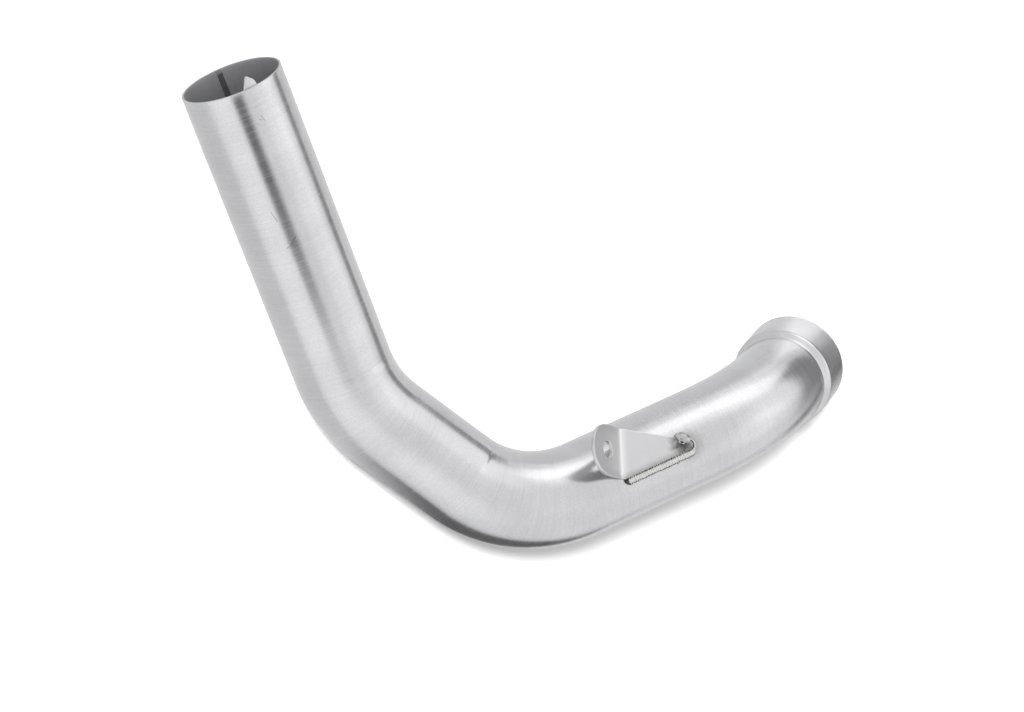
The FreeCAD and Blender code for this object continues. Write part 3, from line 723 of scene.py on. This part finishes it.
@dataclass
class Tube:
    """The bent tube with its expanded socket, and the seam along the inside of its wall."""

    route: Route
    outer: float = 25.4
    wall: float = 1.0
    flare_at: float = 2.0
    flare_run: float = 3.5
    flare_round: float = 3.0
    socket_bore: float = 27.2
    rim_round: float = 0.18
    columns: int = 160
    step: float = 2.2
    arc_steps: int = 5
    long_side: float = 300.0
    crease_zone: float = 9.0
    crease_step: float = 0.55
    crease_heights: tuple[float, float] = (-0.36, 0.4)
    crease_along: float = 1.5
    crease_fade: float = 9.0
    crease_at: float = 48.0
    crease_around: float = 28.0
    crease_lean: float = 0.05
    seam_at: float = 263.0
    seam_width: float = 3.0
    seam_height: float = 0.22
    seam_sunk: float = 0.25
    seam_start: float = 0.4
    seam_step: float = 2.5
    seam_columns: int = 16

    def profile(self) -> np.ndarray:
        """The wall's closed section: distance from the inlet's rim and radius, outside first, then inside.

        The outer line has closer points round the bending tool's marks.

        Returns:
            Rows of two numbers, at most a step apart.
        """
        foot = self.route.starts["outlet"] + self.flare_at
        top, end = foot + self.flare_run, self.route.length
        inner, socket = self.outer - self.wall, self.socket_bore + self.wall
        corners = ((0, self.outer), (foot, self.outer), (top, socket), (end, socket),
                   (end, self.socket_bore), (top, self.socket_bore), (foot, inner), (0, inner))
        radii = (self.rim_round, self.flare_round, self.flare_round, self.rim_round,
                 self.rim_round, self.flare_round, self.flare_round, self.rim_round)
        line = eased(np.array(corners), np.array(radii), self.arc_steps, closed=True)
        zone = np.arange(-self.crease_zone, self.crease_zone, self.crease_step)
        parts = []
        for first, last in zip(line, np.roll(line, -1, axis=0)):
            length = abs(last[0] - first[0])
            share = np.arange(max(1, math.ceil(np.linalg.norm(last - first) / self.step)))
            share = share / len(share)
            if length > self.long_side and first[1] > inner:
                near = [zone + self.route.starts[name] for name in ("bend_1", "bend_2")]
                share = np.unique(np.concatenate((share, (np.concatenate(near) - first[0]) / length)))
            parts.append(first + (last - first) * share[:, None])
        return np.concatenate(parts)

    def creases(self, along: np.ndarray, around: np.ndarray) -> np.ndarray:
        """How far the bending tool's marks stand out, at the start of the first two bends, on their inner side.

        Each is a short step along the tube, -tanh(x / reach), that heals slowly on both sides of it by
        e^(-|x| / fade), times a bell round the tube. The first step goes up and the second goes down.

        Args:
            along: distances from the inlet's rim.
            around: angles round the tube.

        Returns:
            Heights in millimetres.
        """
        height = np.zeros(np.broadcast(along, around).shape)
        for name, rise in zip(("bend_1", "bend_2"), self.crease_heights):
            run = self.route.runs[list(self.route.starts).index(name)]
            off = np.degrees(np.angle(np.exp(1j * (around - run.twist)))) - self.crease_at
            x = along - run.first + self.crease_lean * off
            step = np.tanh(x / self.crease_along) * np.exp(-np.abs(x) / self.crease_fade)
            height = height - rise * step * np.exp(-(off / self.crease_around) ** 2)
        return height

    def build(self, steel: bpy.types.Material, seam_steel: bpy.types.Material) -> None:
        """Build the tube and its seam, each with its place on the straightened tube as an attribute.

        Args:
            steel: the tube's material.
            seam_steel: the seam's material.
        """
        section = self.profile()
        foot = self.route.starts["outlet"] + self.flare_at
        around = circle(self.columns)
        along, radius = section[:, :1], section[:, 1:]
        radius = radius + self.creases(along, around)
        points = self.route.tube_points(along, around, radius)
        straight = together(along, radius * np.cos(around), radius * np.sin(around))
        middle = self.outer - self.wall / 2 + np.clip((along - foot) / self.flare_run, 0, 1) * (
            self.socket_bore + self.wall - self.outer)
        inside = np.broadcast_to(np.where(radius < middle, 1.0, 0.0), along.shape[:1] + around.shape[1:])
        tube = Surface("pipe_tube", points, True, {"straight": straight, "inside": inside}).build()
        dress(tube, steel, ("pipe",))

        self.seam(seam_steel)

    def seam(self, steel: bpy.types.Material) -> None:
        """Build the seam: a flat rounded strip along the inner wall, its section an oval sunk into the wall.

        Args:
            steel: the seam's material.
        """
        inner = self.outer - self.wall
        rows = np.arange(self.seam_start, self.route.starts["outlet"], self.seam_step)[:, None]
        half = self.seam_width / 2 / inner
        turn = circle(self.seam_columns)
        across = np.radians(self.seam_at) + half * np.cos(turn)
        lift = inner + self.seam_sunk - (self.seam_height + self.seam_sunk) * (0.5 + 0.5 * np.sin(turn))
        strip = self.route.tube_points(rows, across, lift + 0 * rows)
        mark = together(rows, inner * across, lift)
        inside = np.ones_like(rows * lift)
        seam = Surface("inner_seam", strip, False, {"straight": mark, "inside": inside}).build()
        dress(seam, steel)


# Bracket

@dataclass
class Bracket:
    """The folded sheet, worked out on its flat blank: hole at the origin, the web's tip along +U."""

    route: Route
    tube_radius: float = 25.4
    sheet: float = 2.0
    width: float = 27.0
    web_reach: float = 35.3
    tip_side: float = 5.6
    tip_round: float = 2.6
    fold_angle: float = 42.0
    fold_round: float = 4.6
    ear_reach: float = 10.9
    hole: float = 4.5
    start: float = 13.4
    turn: float = -24.8
    edge_drop: float = 7.9
    edge_round: float = 0.3
    edge_steps: int = 5
    ear_steps: int = 90
    nose_steps: int = 40
    columns: int = 280
    rows: int = 46

    def __post_init__(self) -> None:
        """Work out the edges' slopes, the web's placement and the flat length of the fold."""
        half = self.width / 2
        self.slopes = []
        for side in (-1, 1):
            across = self.tip_side - side * half
            to_tip = math.hypot(self.web_reach, across)
            self.slopes.append(math.atan2(across, self.web_reach) + side * math.asin(self.tip_round / to_tip))
        touch = self.route.at["bracket"].moved(x=self.start).turned(Axis.X, self.turn)
        corner = touch.moved(y=-self.edge_drop, z=self.tube_radius)
        self.web = corner.turned(Axis.Z, -math.degrees(self.slopes[0])).moved(y=half)
        self.fold = math.radians(self.fold_angle)
        self.fold_length = self.fold * (self.fold_round + self.sheet / 2)
        self.web_at = self.ear_reach + self.fold_length

    def folded(self, flat: np.ndarray) -> np.ndarray:
        """Points of the flat blank, carried round the fold to the resting frame.

        Past the fold a point keeps its place on the web. In it, it turns about the fold's axis by its distance
        over the fold's mean radius. Before it, it goes on straight along the ear.

        Args:
            flat: U along the blank, V across it and W up from the tube's side, in the last axis.

        Returns:
            The folded points.
        """
        u, v, w = flat[..., 0], flat[..., 1], flat[..., 2]
        mean = self.fold_round + self.sheet / 2
        level = self.fold_round + self.sheet
        angle = np.clip((self.web_at - u) / mean, 0, self.fold)
        on_ear = np.minimum(u - self.ear_reach, 0)
        on_web = np.maximum(u - self.web_at, 0)
        out = level - w
        x = -out * np.sin(angle) + on_ear * np.cos(angle) + on_web
        z = level - out * np.cos(angle) - on_ear * np.sin(angle)
        return self.web.world(together(x, v, z))

    def outline(self) -> np.ndarray:
        """The blank's outline: a half round ear end, straight sides and edges that taper to the round tip.

        Returns:
            Points at even distances, anticlockwise.
        """
        half = self.width / 2
        tip = np.array((self.web_at + self.web_reach, self.tip_side))
        low, high = self.slopes
        ear = np.radians(np.linspace(90, 270, self.ear_steps))
        nose = np.linspace(low - math.pi / 2, high + math.pi / 2, self.nose_steps)
        line = np.concatenate((
            half * np.stack((np.cos(ear), np.sin(ear)), axis=1),
            np.array(((self.web_at, -half),)),
            tip + self.tip_round * np.stack((np.cos(nose), np.sin(nose)), axis=1),
            np.array(((self.web_at, half),)),
        ))
        return spread(line, self.columns, closed=True)

    def build(self, steel: bpy.types.Material) -> None:
        """Build the plate: for each point of the outline a closed loop runs out over the top and back below.

        A row of the loop holds the share of the way from hole to outline, the distances that a rounded edge
        keeps from each, and the height. The rounded edges are quarter circles.

        Args:
            steel: the plate's material.
        """
        edge = self.outline()
        tangent = np.roll(edge, -1, axis=0) - np.roll(edge, 1, axis=0)
        tangent /= np.linalg.norm(tangent, axis=1, keepdims=True)
        inward = np.stack((-tangent[:, 1], tangent[:, 0]), axis=1)
        away = edge / np.linalg.norm(edge, axis=1, keepdims=True)
        hole = self.hole * away
        r = self.edge_round
        arc = np.linspace(0, math.pi / 2, self.edge_steps)[1:]
        bend = list(zip((1 - np.sin(arc)) * r, (1 - np.cos(arc)) * r))
        share = np.linspace(0, 1, self.rows)
        top = [(s, (1 - s) * r, s * r, self.sheet) for s in share]
        rim = [(1.0, 0.0, gap, self.sheet - rise) for gap, rise in bend]
        rim += [(1.0, 0.0, gap, rise) for gap, rise in bend[::-1]]
        low = [(s, (1 - s) * r, s * r, 0.0) for s in share[::-1]]
        bore = [(0.0, gap, 0.0, rise) for gap, rise in bend]
        bore += [(0.0, gap, 0.0, self.sheet - rise) for gap, rise in bend[::-1]]
        loop = np.array(top + rim + low + bore)
        share, at_hole, at_edge, height = (loop[:, index, None] for index in range(4))
        first = hole[None] + away[None] * at_hole[..., None]
        last = edge[None] + inward[None] * at_edge[..., None]
        plane = first + (last - first) * share[..., None]
        flat = np.concatenate((plane, np.broadcast_to(height[..., None], plane.shape[:2] + (1,))), axis=-1)
        plate = Surface("bracket_plate", self.folded(flat), True, {"flat": flat}).build()
        dress(plate, steel, ("hanger_bracket",))

    def welded_edge(self) -> Place:
        """The corner where the welded edge starts, X along that edge."""
        return self.web.moved(y=-self.width / 2).turned(Axis.Z, math.degrees(self.slopes[0]))

    def tip(self) -> Place:
        """The web's frame at the middle of its round tip."""
        return self.web.moved(x=self.web_reach, y=self.tip_side)

    def tack_place(self) -> Place:
        """The middle of the tack on the free edge, X back along that edge's line."""
        free = self.tip().turned(Axis.Z, math.degrees(self.slopes[1]))
        return free.moved(x=-3.4, y=self.tip_round + 0.5, z=self.sheet / 2 + 0.3)


@dataclass
class Welds:
    """The bead along the web's welded edge, the bead round its tip and the tack that ends it."""

    bracket: Bracket
    radius: float = 3.0
    out: float = 0.6
    depth: float = 3.1
    rows: int = 230
    cap_rows: int = 10
    columns: int = 56
    ripple: float = 1.25
    ripple_height: float = 0.26
    ripple_lag: float = 0.5
    uneven_height: float = 0.2
    uneven_pitch: float = 3.2
    fine_height: float = 0.14
    fine_pitch: float = 1.0
    stitch: float = 1.15
    into_wall: float = 0.5
    tip_radius: float = 1.05
    tip_out: float = 0.75
    tip_rise: float = 0.55
    tip_ripple: float = 1.1
    tip_rows: int = 90
    tip_columns: int = 28
    tack_length: float = 8.4
    tack_width: float = 6.8
    tack_height: float = 5.0
    tack_swell: float = 0.12
    tack_dent: float = 0.05
    tack_rows: int = 60
    tack_columns: int = 90

    def seated(self, points: np.ndarray) -> np.ndarray:
        """Points that lie deeper than the middle of the tube's wall, pushed out to it.

        Args:
            points: points of a bead, in the resting frame.

        Returns:
            The same points, none nearer to the tube's axis than that.
        """
        axis = self.bracket.route.at["bracket"]
        own = axis.local(points)
        far = np.hypot(own[..., 1], own[..., 2])
        least = self.bracket.tube_radius - self.into_wall
        grow = np.maximum(least / np.maximum(far, 1e-6), 1.0)
        return axis.world(own * together(1.0, grow, grow))

    def side_bead(self, metal: bpy.types.Material) -> None:
        """A round bead with ball ends, its radius swelling a little at each ripple of the arc.

        At s along it, the radius is the cap's share of r + ripple height (|sin(pi s / ripple)| - 0.6), with
        slow and fine lumps added. The ripples lag behind at the bead's sides, as a weld pool's do.

        Args:
            metal: the bead's material.
        """
        b = self.bracket
        start = b.welded_edge().moved(y=-self.out, z=b.sheet - self.depth)
        to_tip = math.hypot(b.web_reach, b.tip_side + b.width / 2)
        length = math.sqrt(to_tip ** 2 - b.tip_round ** 2) + self.radius
        ball = self.radius * (1 - np.cos(np.linspace(0.06, math.pi / 2, self.cap_rows)))
        straight = np.linspace(self.radius, length - self.radius, self.rows)[1:-1]
        along = np.concatenate((ball, straight, length - ball[::-1]))[:, None]
        end = np.minimum(along, length - along)
        cap = np.sqrt(np.clip(1 - (1 - np.minimum(end / self.radius, 1)) ** 2, 0, 1))
        turn = circle(self.columns)
        lag = along - self.ripple_lag * (1 - np.sin(turn)) + 0.12 * np.sin(along * 1.7)
        wave = np.abs(np.sin(math.pi * lag / self.ripple)) - 0.6
        line = start.world(together(along, 0, 0))
        about = together(np.cos(turn), np.sin(turn), 0 * turn)
        uneven = self.uneven_height * lumps(line + about * 2, self.uneven_pitch, 5)
        fine = self.fine_height * lumps(line + about * self.radius, self.fine_pitch, 31)
        across = cap * (self.radius + self.ripple_height * wave + uneven + fine)
        own = together(along, across * np.cos(turn), across * np.sin(turn))
        points = self.seated(start.world(own))
        side = np.cos(turn)      # below zero beside the tube, above it beside the plate
        stitch = 0.55 + 0.45 * np.sin(FULL_TURN * lag / self.stitch)
        # darkened along both toes in stitches, partly oxide and partly painted shade where the bead meets tube and
        # plate; darker in the ripples' hollows as painted shade; a painted shadow at its start end
        low = np.clip((0.2 - np.abs(np.sin(turn) - 0.42) * 0.9) * 5, 0, 1) * (side < 0)
        high = np.clip(1.25 - np.abs(np.sin(turn) - 0.95) * 5, 0, 1) * (side > 0)
        start_painted_shadow = 0.9 * np.clip(1 - along / 2.2, 0, 1)
        oxide_and_painted_shade = (low + 0.62 * high) * (0.35 + 0.65 * stitch) + start_painted_shadow + 0.3 * (0.4 - wave)
        bead = Surface("side_bead", points, False, {"oxide_and_painted_shade": oxide_and_painted_shade}).build()
        dress(bead, metal, ("side_weld",))

    def tip_bead(self, metal: bpy.types.Material) -> None:
        """A thin rippled bead on an arc round the tip, from the welded edge to the free one.

        Args:
            metal: the bead's material.
        """
        b = self.bracket
        arc = np.linspace(b.slopes[0] - math.pi / 2 - 0.1, b.slopes[1] + math.pi / 2 + 0.2, self.tip_rows)[:, None]
        turn = circle(self.tip_columns)
        big = b.tip_round + self.tip_out
        wave = np.abs(np.sin(arc * big * math.pi / self.tip_ripple + 0.4 * np.sin(turn)))
        small = self.tip_radius * (0.84 + 0.24 * wave)
        reach = big + small * np.cos(turn)
        height = self.tip_rise + small * 1.25 * np.sin(turn)
        own = together(reach * np.cos(arc), reach * np.sin(arc), height)
        points = self.seated(b.tip().world(own))
        # darker on its inner side toward the plate and in the ripples' hollows: partly oxide, partly painted shade
        oxide_and_painted_shade = np.clip(1 - np.abs(np.cos(turn) + 0.5) * 3, 0, 1) + 0.4 * (1 - wave)
        bead = Surface("tip_bead", points, False, {"oxide_and_painted_shade": oxide_and_painted_shade}).build()
        dress(bead, metal, ("tip_weld",))

    def tip_tack(self, metal: bpy.types.Material) -> None:
        """A lumpy drop: an oval whose radius is swelled and dented by smooth noise.

        Args:
            metal: the drop's material.
        """
        place = self.bracket.tack_place()
        polar = np.linspace(0.05, math.pi - 0.05, self.tack_rows)[:, None]
        turn = circle(self.tack_columns)
        ball = together(np.cos(polar), np.sin(polar) * np.cos(turn), np.sin(polar) * np.sin(turn))
        half = np.array((self.tack_length, self.tack_width, self.tack_height)) / 2
        own = ball * half
        swell = lumps(own, 3.6, 14) * self.tack_swell + lumps(own, 1.8, 23) * self.tack_dent
        own = own * (1 + swell[..., None])
        points = self.seated(place.world(own))
        # darker in the dents: partly scale, partly painted shade
        oxide_and_painted_shade = np.clip(-swell * 6 - 0.1, 0, 0.8)
        tack = Surface("tip_tack", points, False, {"oxide_and_painted_shade": oxide_and_painted_shade}).build()
        dress(tack, metal)


@dataclass
class LocatingTab:
    """The pointed plate inside the mouth and the two beads that hold it."""

    route: Route
    outside: float = 24.4
    thickness: float = 1.5
    width: float = 7.4
    depth: float = 12.0
    nose: tuple[tuple[float, float], ...] = ((5.45, 0.75), (5.55, -0.1), (2.95, -2.85))
    turn: float = 75.3
    edge: float = 0.25
    rings: int = 22
    bead: float = 1.1
    bead_run: float = 8.4
    bead_waves: float = 2.6
    bead_rows: int = 60
    bead_columns: int = 24

    def frame(self) -> Place:
        """Frame of the tab: at the mouth's rim, X out of the mouth, Z away from the pipe's axis."""
        return self.route.at["inlet"].turned(Axis.X, self.turn - 90).turned(Axis.Z, 180)

    def wrapped(self, out: np.ndarray, across: np.ndarray, radius: np.ndarray) -> np.ndarray:
        """Points given out of the mouth, across the tab and by radius, bent to the wall's round.

        Args:
            out: distances out of the mouth.
            across: distances round the wall.
            radius: distances from the pipe's axis.

        Returns:
            The points in the resting frame.
        """
        angle = across / self.outside
        return self.frame().world(together(out, radius * np.sin(angle), radius * np.cos(angle)))

    def build(self, steel: bpy.types.Material, metal: bpy.types.Material) -> None:
        """Build the plate, a lid, an edge and a floor between two poles, and its beads.

        Args:
            steel: the plate's material.
            metal: the beads' material.
        """
        half = self.width / 2
        corners = np.array(((-self.depth, -half), (-self.depth, half), (0.0, half), *self.nose, (0.0, -half)))
        radii = np.array((1.0, 1.0, 0.0, 0.4, 0.4, 2.5, 0.0))
        line = spread(eased(corners, radii, 6, closed=True), 120, closed=True)
        middle = np.array((-self.depth / 2 + 1.0, 0.0))
        low, high = self.outside - self.thickness, self.outside
        lid = np.linspace(0.03, 0.985, self.rings)
        share = np.concatenate((lid, np.ones(2), lid[::-1]))
        edge = np.array((high - self.edge, low + self.edge))
        height = np.concatenate((np.full(self.rings, high), edge, np.full(self.rings, low)))
        plane = middle + (line[None] - middle) * share[:, None, None]
        out, across = plane[..., 0], plane[..., 1]
        points = self.wrapped(out, across, np.broadcast_to(height[:, None], out.shape))
        plate = Surface("tab_plate", points, False, {"flat": together(out, across, 0 * out)}).build()
        dress(plate, steel, ("locating_tab",))

        for hand, side in (("left", -1), ("right", 1)):
            along = np.linspace(0.02, 0.98, self.bead_rows)[:, None]
            turn = circle(self.bead_columns)
            cap = np.sqrt(np.clip(1 - (2 * along - 1) ** 8, 0, 1))
            wave = np.abs(np.sin(along * self.bead_run * self.bead_waves))
            small = self.bead * cap * (0.92 + 0.1 * wave)
            out = -self.depth + along * self.bead_run + 0 * turn
            across = side * (half + 0.2) + small * np.cos(turn)
            radius = np.minimum(self.outside - 0.1 + small * np.sin(turn), self.outside + 0.4)
            ring = self.wrapped(out, across, radius)
            # darker in the ripples' hollows: painted shade
            oxide_and_painted_shade = 0.3 * (1 - wave) + 0 * turn
            bead = Surface(f"tab_bead_{hand}", ring, False, {"oxide_and_painted_shade": oxide_and_painted_shade}).build()
            dress(bead, metal, ("tab_weld",))


# Studio

@dataclass(frozen=True)
class Glow:
    """One soft light or dark place of the tent: its direction, where it fades out and in, and its gain."""

    direction: tuple[float, float, float]
    fades: float
    full: float
    gain: float


class LampKind(Enum):
    """Kinds of lamp: a softbox that stands near, and a far lamp whose light is even."""

    SOFTBOX = "AREA"
    FAR = "SUN"


@dataclass(frozen=True)
class Lamp:
    """A lamp that faces the pipe: a softbox by its width and height, or a far one by its breadth in degrees."""

    name: str
    kind: LampKind
    place: tuple[float, float, float]
    power: float
    size: tuple[float, ...]
    seen: bool = False

    def build(self) -> None:
        """Hang the lamp. The metal mirrors it only where it is seen."""
        lamp = bpy.data.lights.new(self.name, self.kind.value)
        lamp.energy = self.power
        if self.kind is LampKind.SOFTBOX:
            lamp.shape, lamp.size, lamp.size_y = "RECTANGLE", *self.size
        else:
            lamp.angle = math.radians(self.size[0])
        made = linked(self.name, lamp)
        made.location = self.place
        made.rotation_mode = "QUATERNION"
        made.rotation_quaternion = (-made.location).to_track_quat("-Z", "Y")
        made.visible_glossy = self.seen


@dataclass(frozen=True)
class Card:
    """A dark or white card that only the metal's reflections see, as a photographer's just out of the picture.

    It has four corners in metres, how much it covers, how brightly it shines, and how much of it fades in at
    its first and last side along, and at its first and last side across.
    """

    name: str
    corners: tuple[tuple[float, float, float], ...]
    depth: float
    glow: float
    soft: tuple[float, float, float, float]
    steps: int = 32

    def build(self) -> None:
        """Make the card as a grid between its corners, with its cover eased to nothing at the soft sides."""
        share = np.linspace(0, 1, self.steps)
        along, across = np.meshgrid(share, share, indexing="ij")
        first, second, third, fourth = np.array(self.corners)[:, None, None, :]
        u, v = along[..., None], across[..., None]
        points = (1 - v) * ((1 - u) * first + u * second) + v * ((1 - u) * fourth + u * third)
        shade = np.full(along.shape, self.depth)
        for part, soft in zip((along, 1 - along, across, 1 - across), self.soft):
            if soft:
                risen = np.clip(part / soft, 0, 1)
                shade = shade * risen * risen * (3 - 2 * risen)
        index = np.arange(self.steps ** 2).reshape(self.steps, self.steps)
        quads = np.stack((index[:-1, :-1], index[1:, :-1], index[1:, 1:], index[:-1, 1:]), axis=-1).reshape(-1, 4)
        mesh = bpy.data.meshes.new(self.name)
        mesh.from_pydata(points.reshape(-1, 3).tolist(), [], quads.tolist())
        mesh.attributes.new("shade", "FLOAT", "POINT").data.foreach_set("value", shade.astype(np.float32).ravel())
        material, tree = new_tree(self.name)
        shade = add(tree, "Attribute", {"attribute_name": "shade"}).outputs["Fac"]
        clear = add(tree, "BsdfTransparent")
        board = add(tree, "Emission", {"Strength": self.glow})
        card = add(tree, "MixShader", {0: shade, 1: clear, 2: board})
        add(tree, "OutputMaterial", {"Surface": card})
        mesh.materials.append(material)
        made = linked(self.name, mesh)
        for kind in ("camera", "diffuse", "transmission", "volume_scatter", "shadow"):
            setattr(made, f"visible_{kind}", False)


@dataclass
class Studio:
    """White floor, light tent, lamps, reflection cards and camera."""

    camera_at: tuple[float, float, float] = (-0.824855, -0.082019, 1.289358)
    right: tuple[float, float, float] = (0.755021, 0.387952, 0.528615)
    up: tuple[float, float, float] = (-0.352555, 0.919930, -0.171583)
    forward: tuple[float, float, float] = (0.552848, 0.056820, -0.831341)
    lens: float = 102.21
    sensor: float = 36.0
    floor_half: float = 1.0
    floor_glow: float = 0.16
    floor_level: float = -0.0004
    lamps: tuple[Lamp, ...] = (
        # the only lamp that the metal mirrors: the bright band along the upper side from the second bend on
        Lamp("key_softbox", LampKind.SOFTBOX, (-0.1, 1.6, 0.6), 1.03, (1.4, 0.7), seen=True),
        # lights the table evenly, from the side on which the pipe hides its own shadow
        Lamp("far_table_lamp", LampKind.FAR, (-1.2, 0.2, 1.5), 4.7, (10.0,)),
        # lifts the shadow, and with it what the pipe's lower sides mirror of the table
        Lamp("overhead_softbox", LampKind.SOFTBOX, (0.1, 0.1, 1.7), 14.0, (1.7, 1.7)),
    )
    base: float = 1.03
    glows: tuple[Glow, ...] = (
        Glow((-0.163, 0.925, 0.342), 32.0, 8.0, 0.43),
        Glow((0.533, 0.635, 0.559), 30.0, 8.0, 0.26),
        Glow((0.68, 0.18, 0.71), 30.0, 5.0, 0.2),
        Glow((-0.25, -0.76, 0.60), 48.0, 5.0, 0.21),
    )
    cards: tuple[Card, ...] = (
        # the dark stripe down the inlet, which fades at the first bend
        Card("card_overhead", ((-0.181, 0.009, 0.4), (0.051, -0.185, 0.4), (-0.103, -0.438, 0.4), (-0.34, -0.228, 0.4)),
             0.9, 0.03, (0.05, 0.6, 0.35, 0.35)),
        # the thin dark edge of the inlet, the ear's grey and the dark side of the last bend
        Card("card_back", ((0.66, -0.02, 0.0), (0.28, 0.5, 0.02), (0.28, 0.5, 0.25), (0.66, -0.02, 0.17)),
             0.72, 0.03, (0.5, 0.06, 0.0, 0.4)),
        # the dark lower side of the last bend and of the socket
        Card("card_back_table", ((0.66, -0.02, 0.001), (0.42, 0.3, 0.001), (0.14, 0.14, 0.001), (0.27, -0.03, 0.001)),
             0.9, 0.03, (0.2, 0.3, 0.0, 0.8)),
        # the dark lower edge round the second bend
        Card("card_front_table",
             ((-0.06, -0.06, 0.0012), (-0.06, -0.32, 0.0012), (0.42, -0.36, 0.0012), (0.42, -0.15, 0.0012)),
             0.85, 0.03, (0.12, 0.3, 0.2, 0.5)),
        # the even grey of the sides that face the table
        Card("grey_table", ((-1.0, -1.0, 0.0004), (1.0, -1.0, 0.0004), (1.0, 1.0, 0.0004), (-1.0, 1.0, 0.0004)),
             0.58, 0.42, (0.42, 0.0, 0.0, 0.0)),
        # the thin bright line along the upper side past the bracket
        Card("white_back_table", ((-0.3, 0.16, 0.0015), (0.26, 0.16, 0.0015), (0.26, 0.8, 0.0015), (-0.3, 0.8, 0.0015)),
             0.9, 1.45, (0.4, 0.15, 0.8, 0.1)),
        # the bright patches on the socket and before its ring
        Card("white_socket_table", ((0.16, 0.09, 0.002), (0.27, 0.09, 0.002), (0.31, 0.28, 0.002), (0.16, 0.28, 0.002)),
             0.95, 1.4, (0.2, 0.3, 0.25, 0.3)),
    )

    def floor(self) -> None:
        """A matt white table that the pipe lies on. A faint glow of its own keeps it evenly white."""
        half, level = self.floor_half, self.floor_level
        sides = ((-half, -half), (half, -half), (half, half), (-half, half))
        mesh = bpy.data.meshes.new("studio_floor")
        mesh.from_pydata([(x, y, level) for x, y in sides], [], [(0, 1, 2, 3)])
        material, tree = new_tree("matt_white_board")
        shader = add(tree, "BsdfPrincipled",
                     {"Base Color": linear("#ededed"), "Roughness": 0.9, "Specular IOR Level": 0.2,
                      "Emission Color": linear("#ffffff"), "Emission Strength": self.floor_glow})
        add(tree, "OutputMaterial", {"Surface": shader})
        mesh.materials.append(material)
        linked("studio_floor", mesh)

    def tent(self) -> None:
        """White cloth all round, with a few softly brighter places. Only the metal mirrors it."""
        world = bpy.data.worlds.new("light_tent")
        world.use_nodes = True
        tree = world.node_tree
        tree.nodes.clear()
        way = add(tree, "TexCoord").outputs["Generated"]
        light = self.base
        for glow in self.glows:
            unit = Vector(glow.direction).normalized()
            facing = add(tree, "VectorMath", {"operation": "DOT_PRODUCT", 0: way, 1: tuple(unit)})
            lobe = add(tree, "MapRange",
                       {"interpolation_type": "SMOOTHERSTEP", "From Min": math.cos(math.radians(glow.fades)),
                        "From Max": math.cos(math.radians(glow.full)), "To Max": glow.gain, "Value": facing})
            light = add(tree, "Math", {"operation": "ADD", 0: light, 1: lobe})
        back = add(tree, "Background", {"Color": linear("#ffffff"), "Strength": light})
        add(tree, "OutputWorld", {"Surface": back})
        world.cycles_visibility.diffuse = False
        bpy.context.scene.world = world

    def camera(self) -> None:
        """The camera at the photograph's viewing angle."""
        data = bpy.data.cameras.new("camera")
        data.lens, data.sensor_width = self.lens, self.sensor
        data.clip_start, data.clip_end = 0.05, 50.0
        made = linked("camera", data)
        axes = Matrix((self.right, self.up, [-part for part in self.forward])).transposed()
        made.matrix_world = Matrix.Translation(self.camera_at) @ axes.to_4x4()
        bpy.context.scene.camera = made

    def build(self) -> None:
        """Floor, light and camera, with the image's values shown as they are."""
        self.floor()
        self.tent()
        for part in self.lamps + self.cards:
            part.build()
        self.camera()
        bpy.context.scene.view_settings.view_transform = "Standard"


def metres(place: Place) -> tuple[float, float, float]:
    """A placement's origin in metres, for a material's setting."""
    return tuple(float(part) * MM for part in place.origin)


def main() -> None:
    """Build the tube, the bracket, the welds, the tab and the studio."""
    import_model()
    route = Route()
    bracket = Bracket(route)
    edge = bracket.welded_edge()

    tube_steel = BrushedTube(heat_place=metres(bracket.tip().moved(x=1.0)), scratches=SCRATCHES).build()
    # the seam along the inner wall, drawn greyer and duller than the wall beside it: partly its own rolled, unbrushed
    # finish, partly a painted dark reflection
    seam_steel = BrushedTube(name="stainless_seam_and_painted_reflection", bright="#8a8a8c", worn="#7c7c7e", roughness=0.4).build()
    weld_metal = WeldMetal().build()
    # the tack froze quickly: smoother and darker, with scale in its dents, which are also darkened as painted shade
    tack_metal = WeldMetal(name="stainless_tack_scaled", top="#b4b4b3", oxide_and_painted_shade="#1f1e1d", roughness=0.27,
                           grain=1.4).build()
    sheet_steel = SatinSheet(
        # fold_at places the painted highlight along the bracket's fold
        fold_at=bracket.web_at - 0.5 * bracket.fold_length,
        burn_place=metres(bracket.tack_place().moved(y=-2.6, z=1.0)),
        edge_place=metres(edge),
        edge_way=tuple(float(part) for part in edge.axes[1]),
    ).build()
    # the tab is the same sheet, with no painted fold highlight or burnt place of its own
    tab_steel = SatinSheet(name="stainless_tab_satin").build()

    Tube(route).build(tube_steel, seam_steel)
    bracket.build(sheet_steel)
    welds = Welds(bracket)
    welds.side_bead(weld_metal)
    welds.tip_bead(weld_metal)
    welds.tip_tack(tack_metal)
    LocatingTab(route).build(tab_steel, weld_metal)
    Studio().build()


if __name__ == "__main__":
    logging.basicConfig(level=logging.INFO, format="%(message)s")
    main()
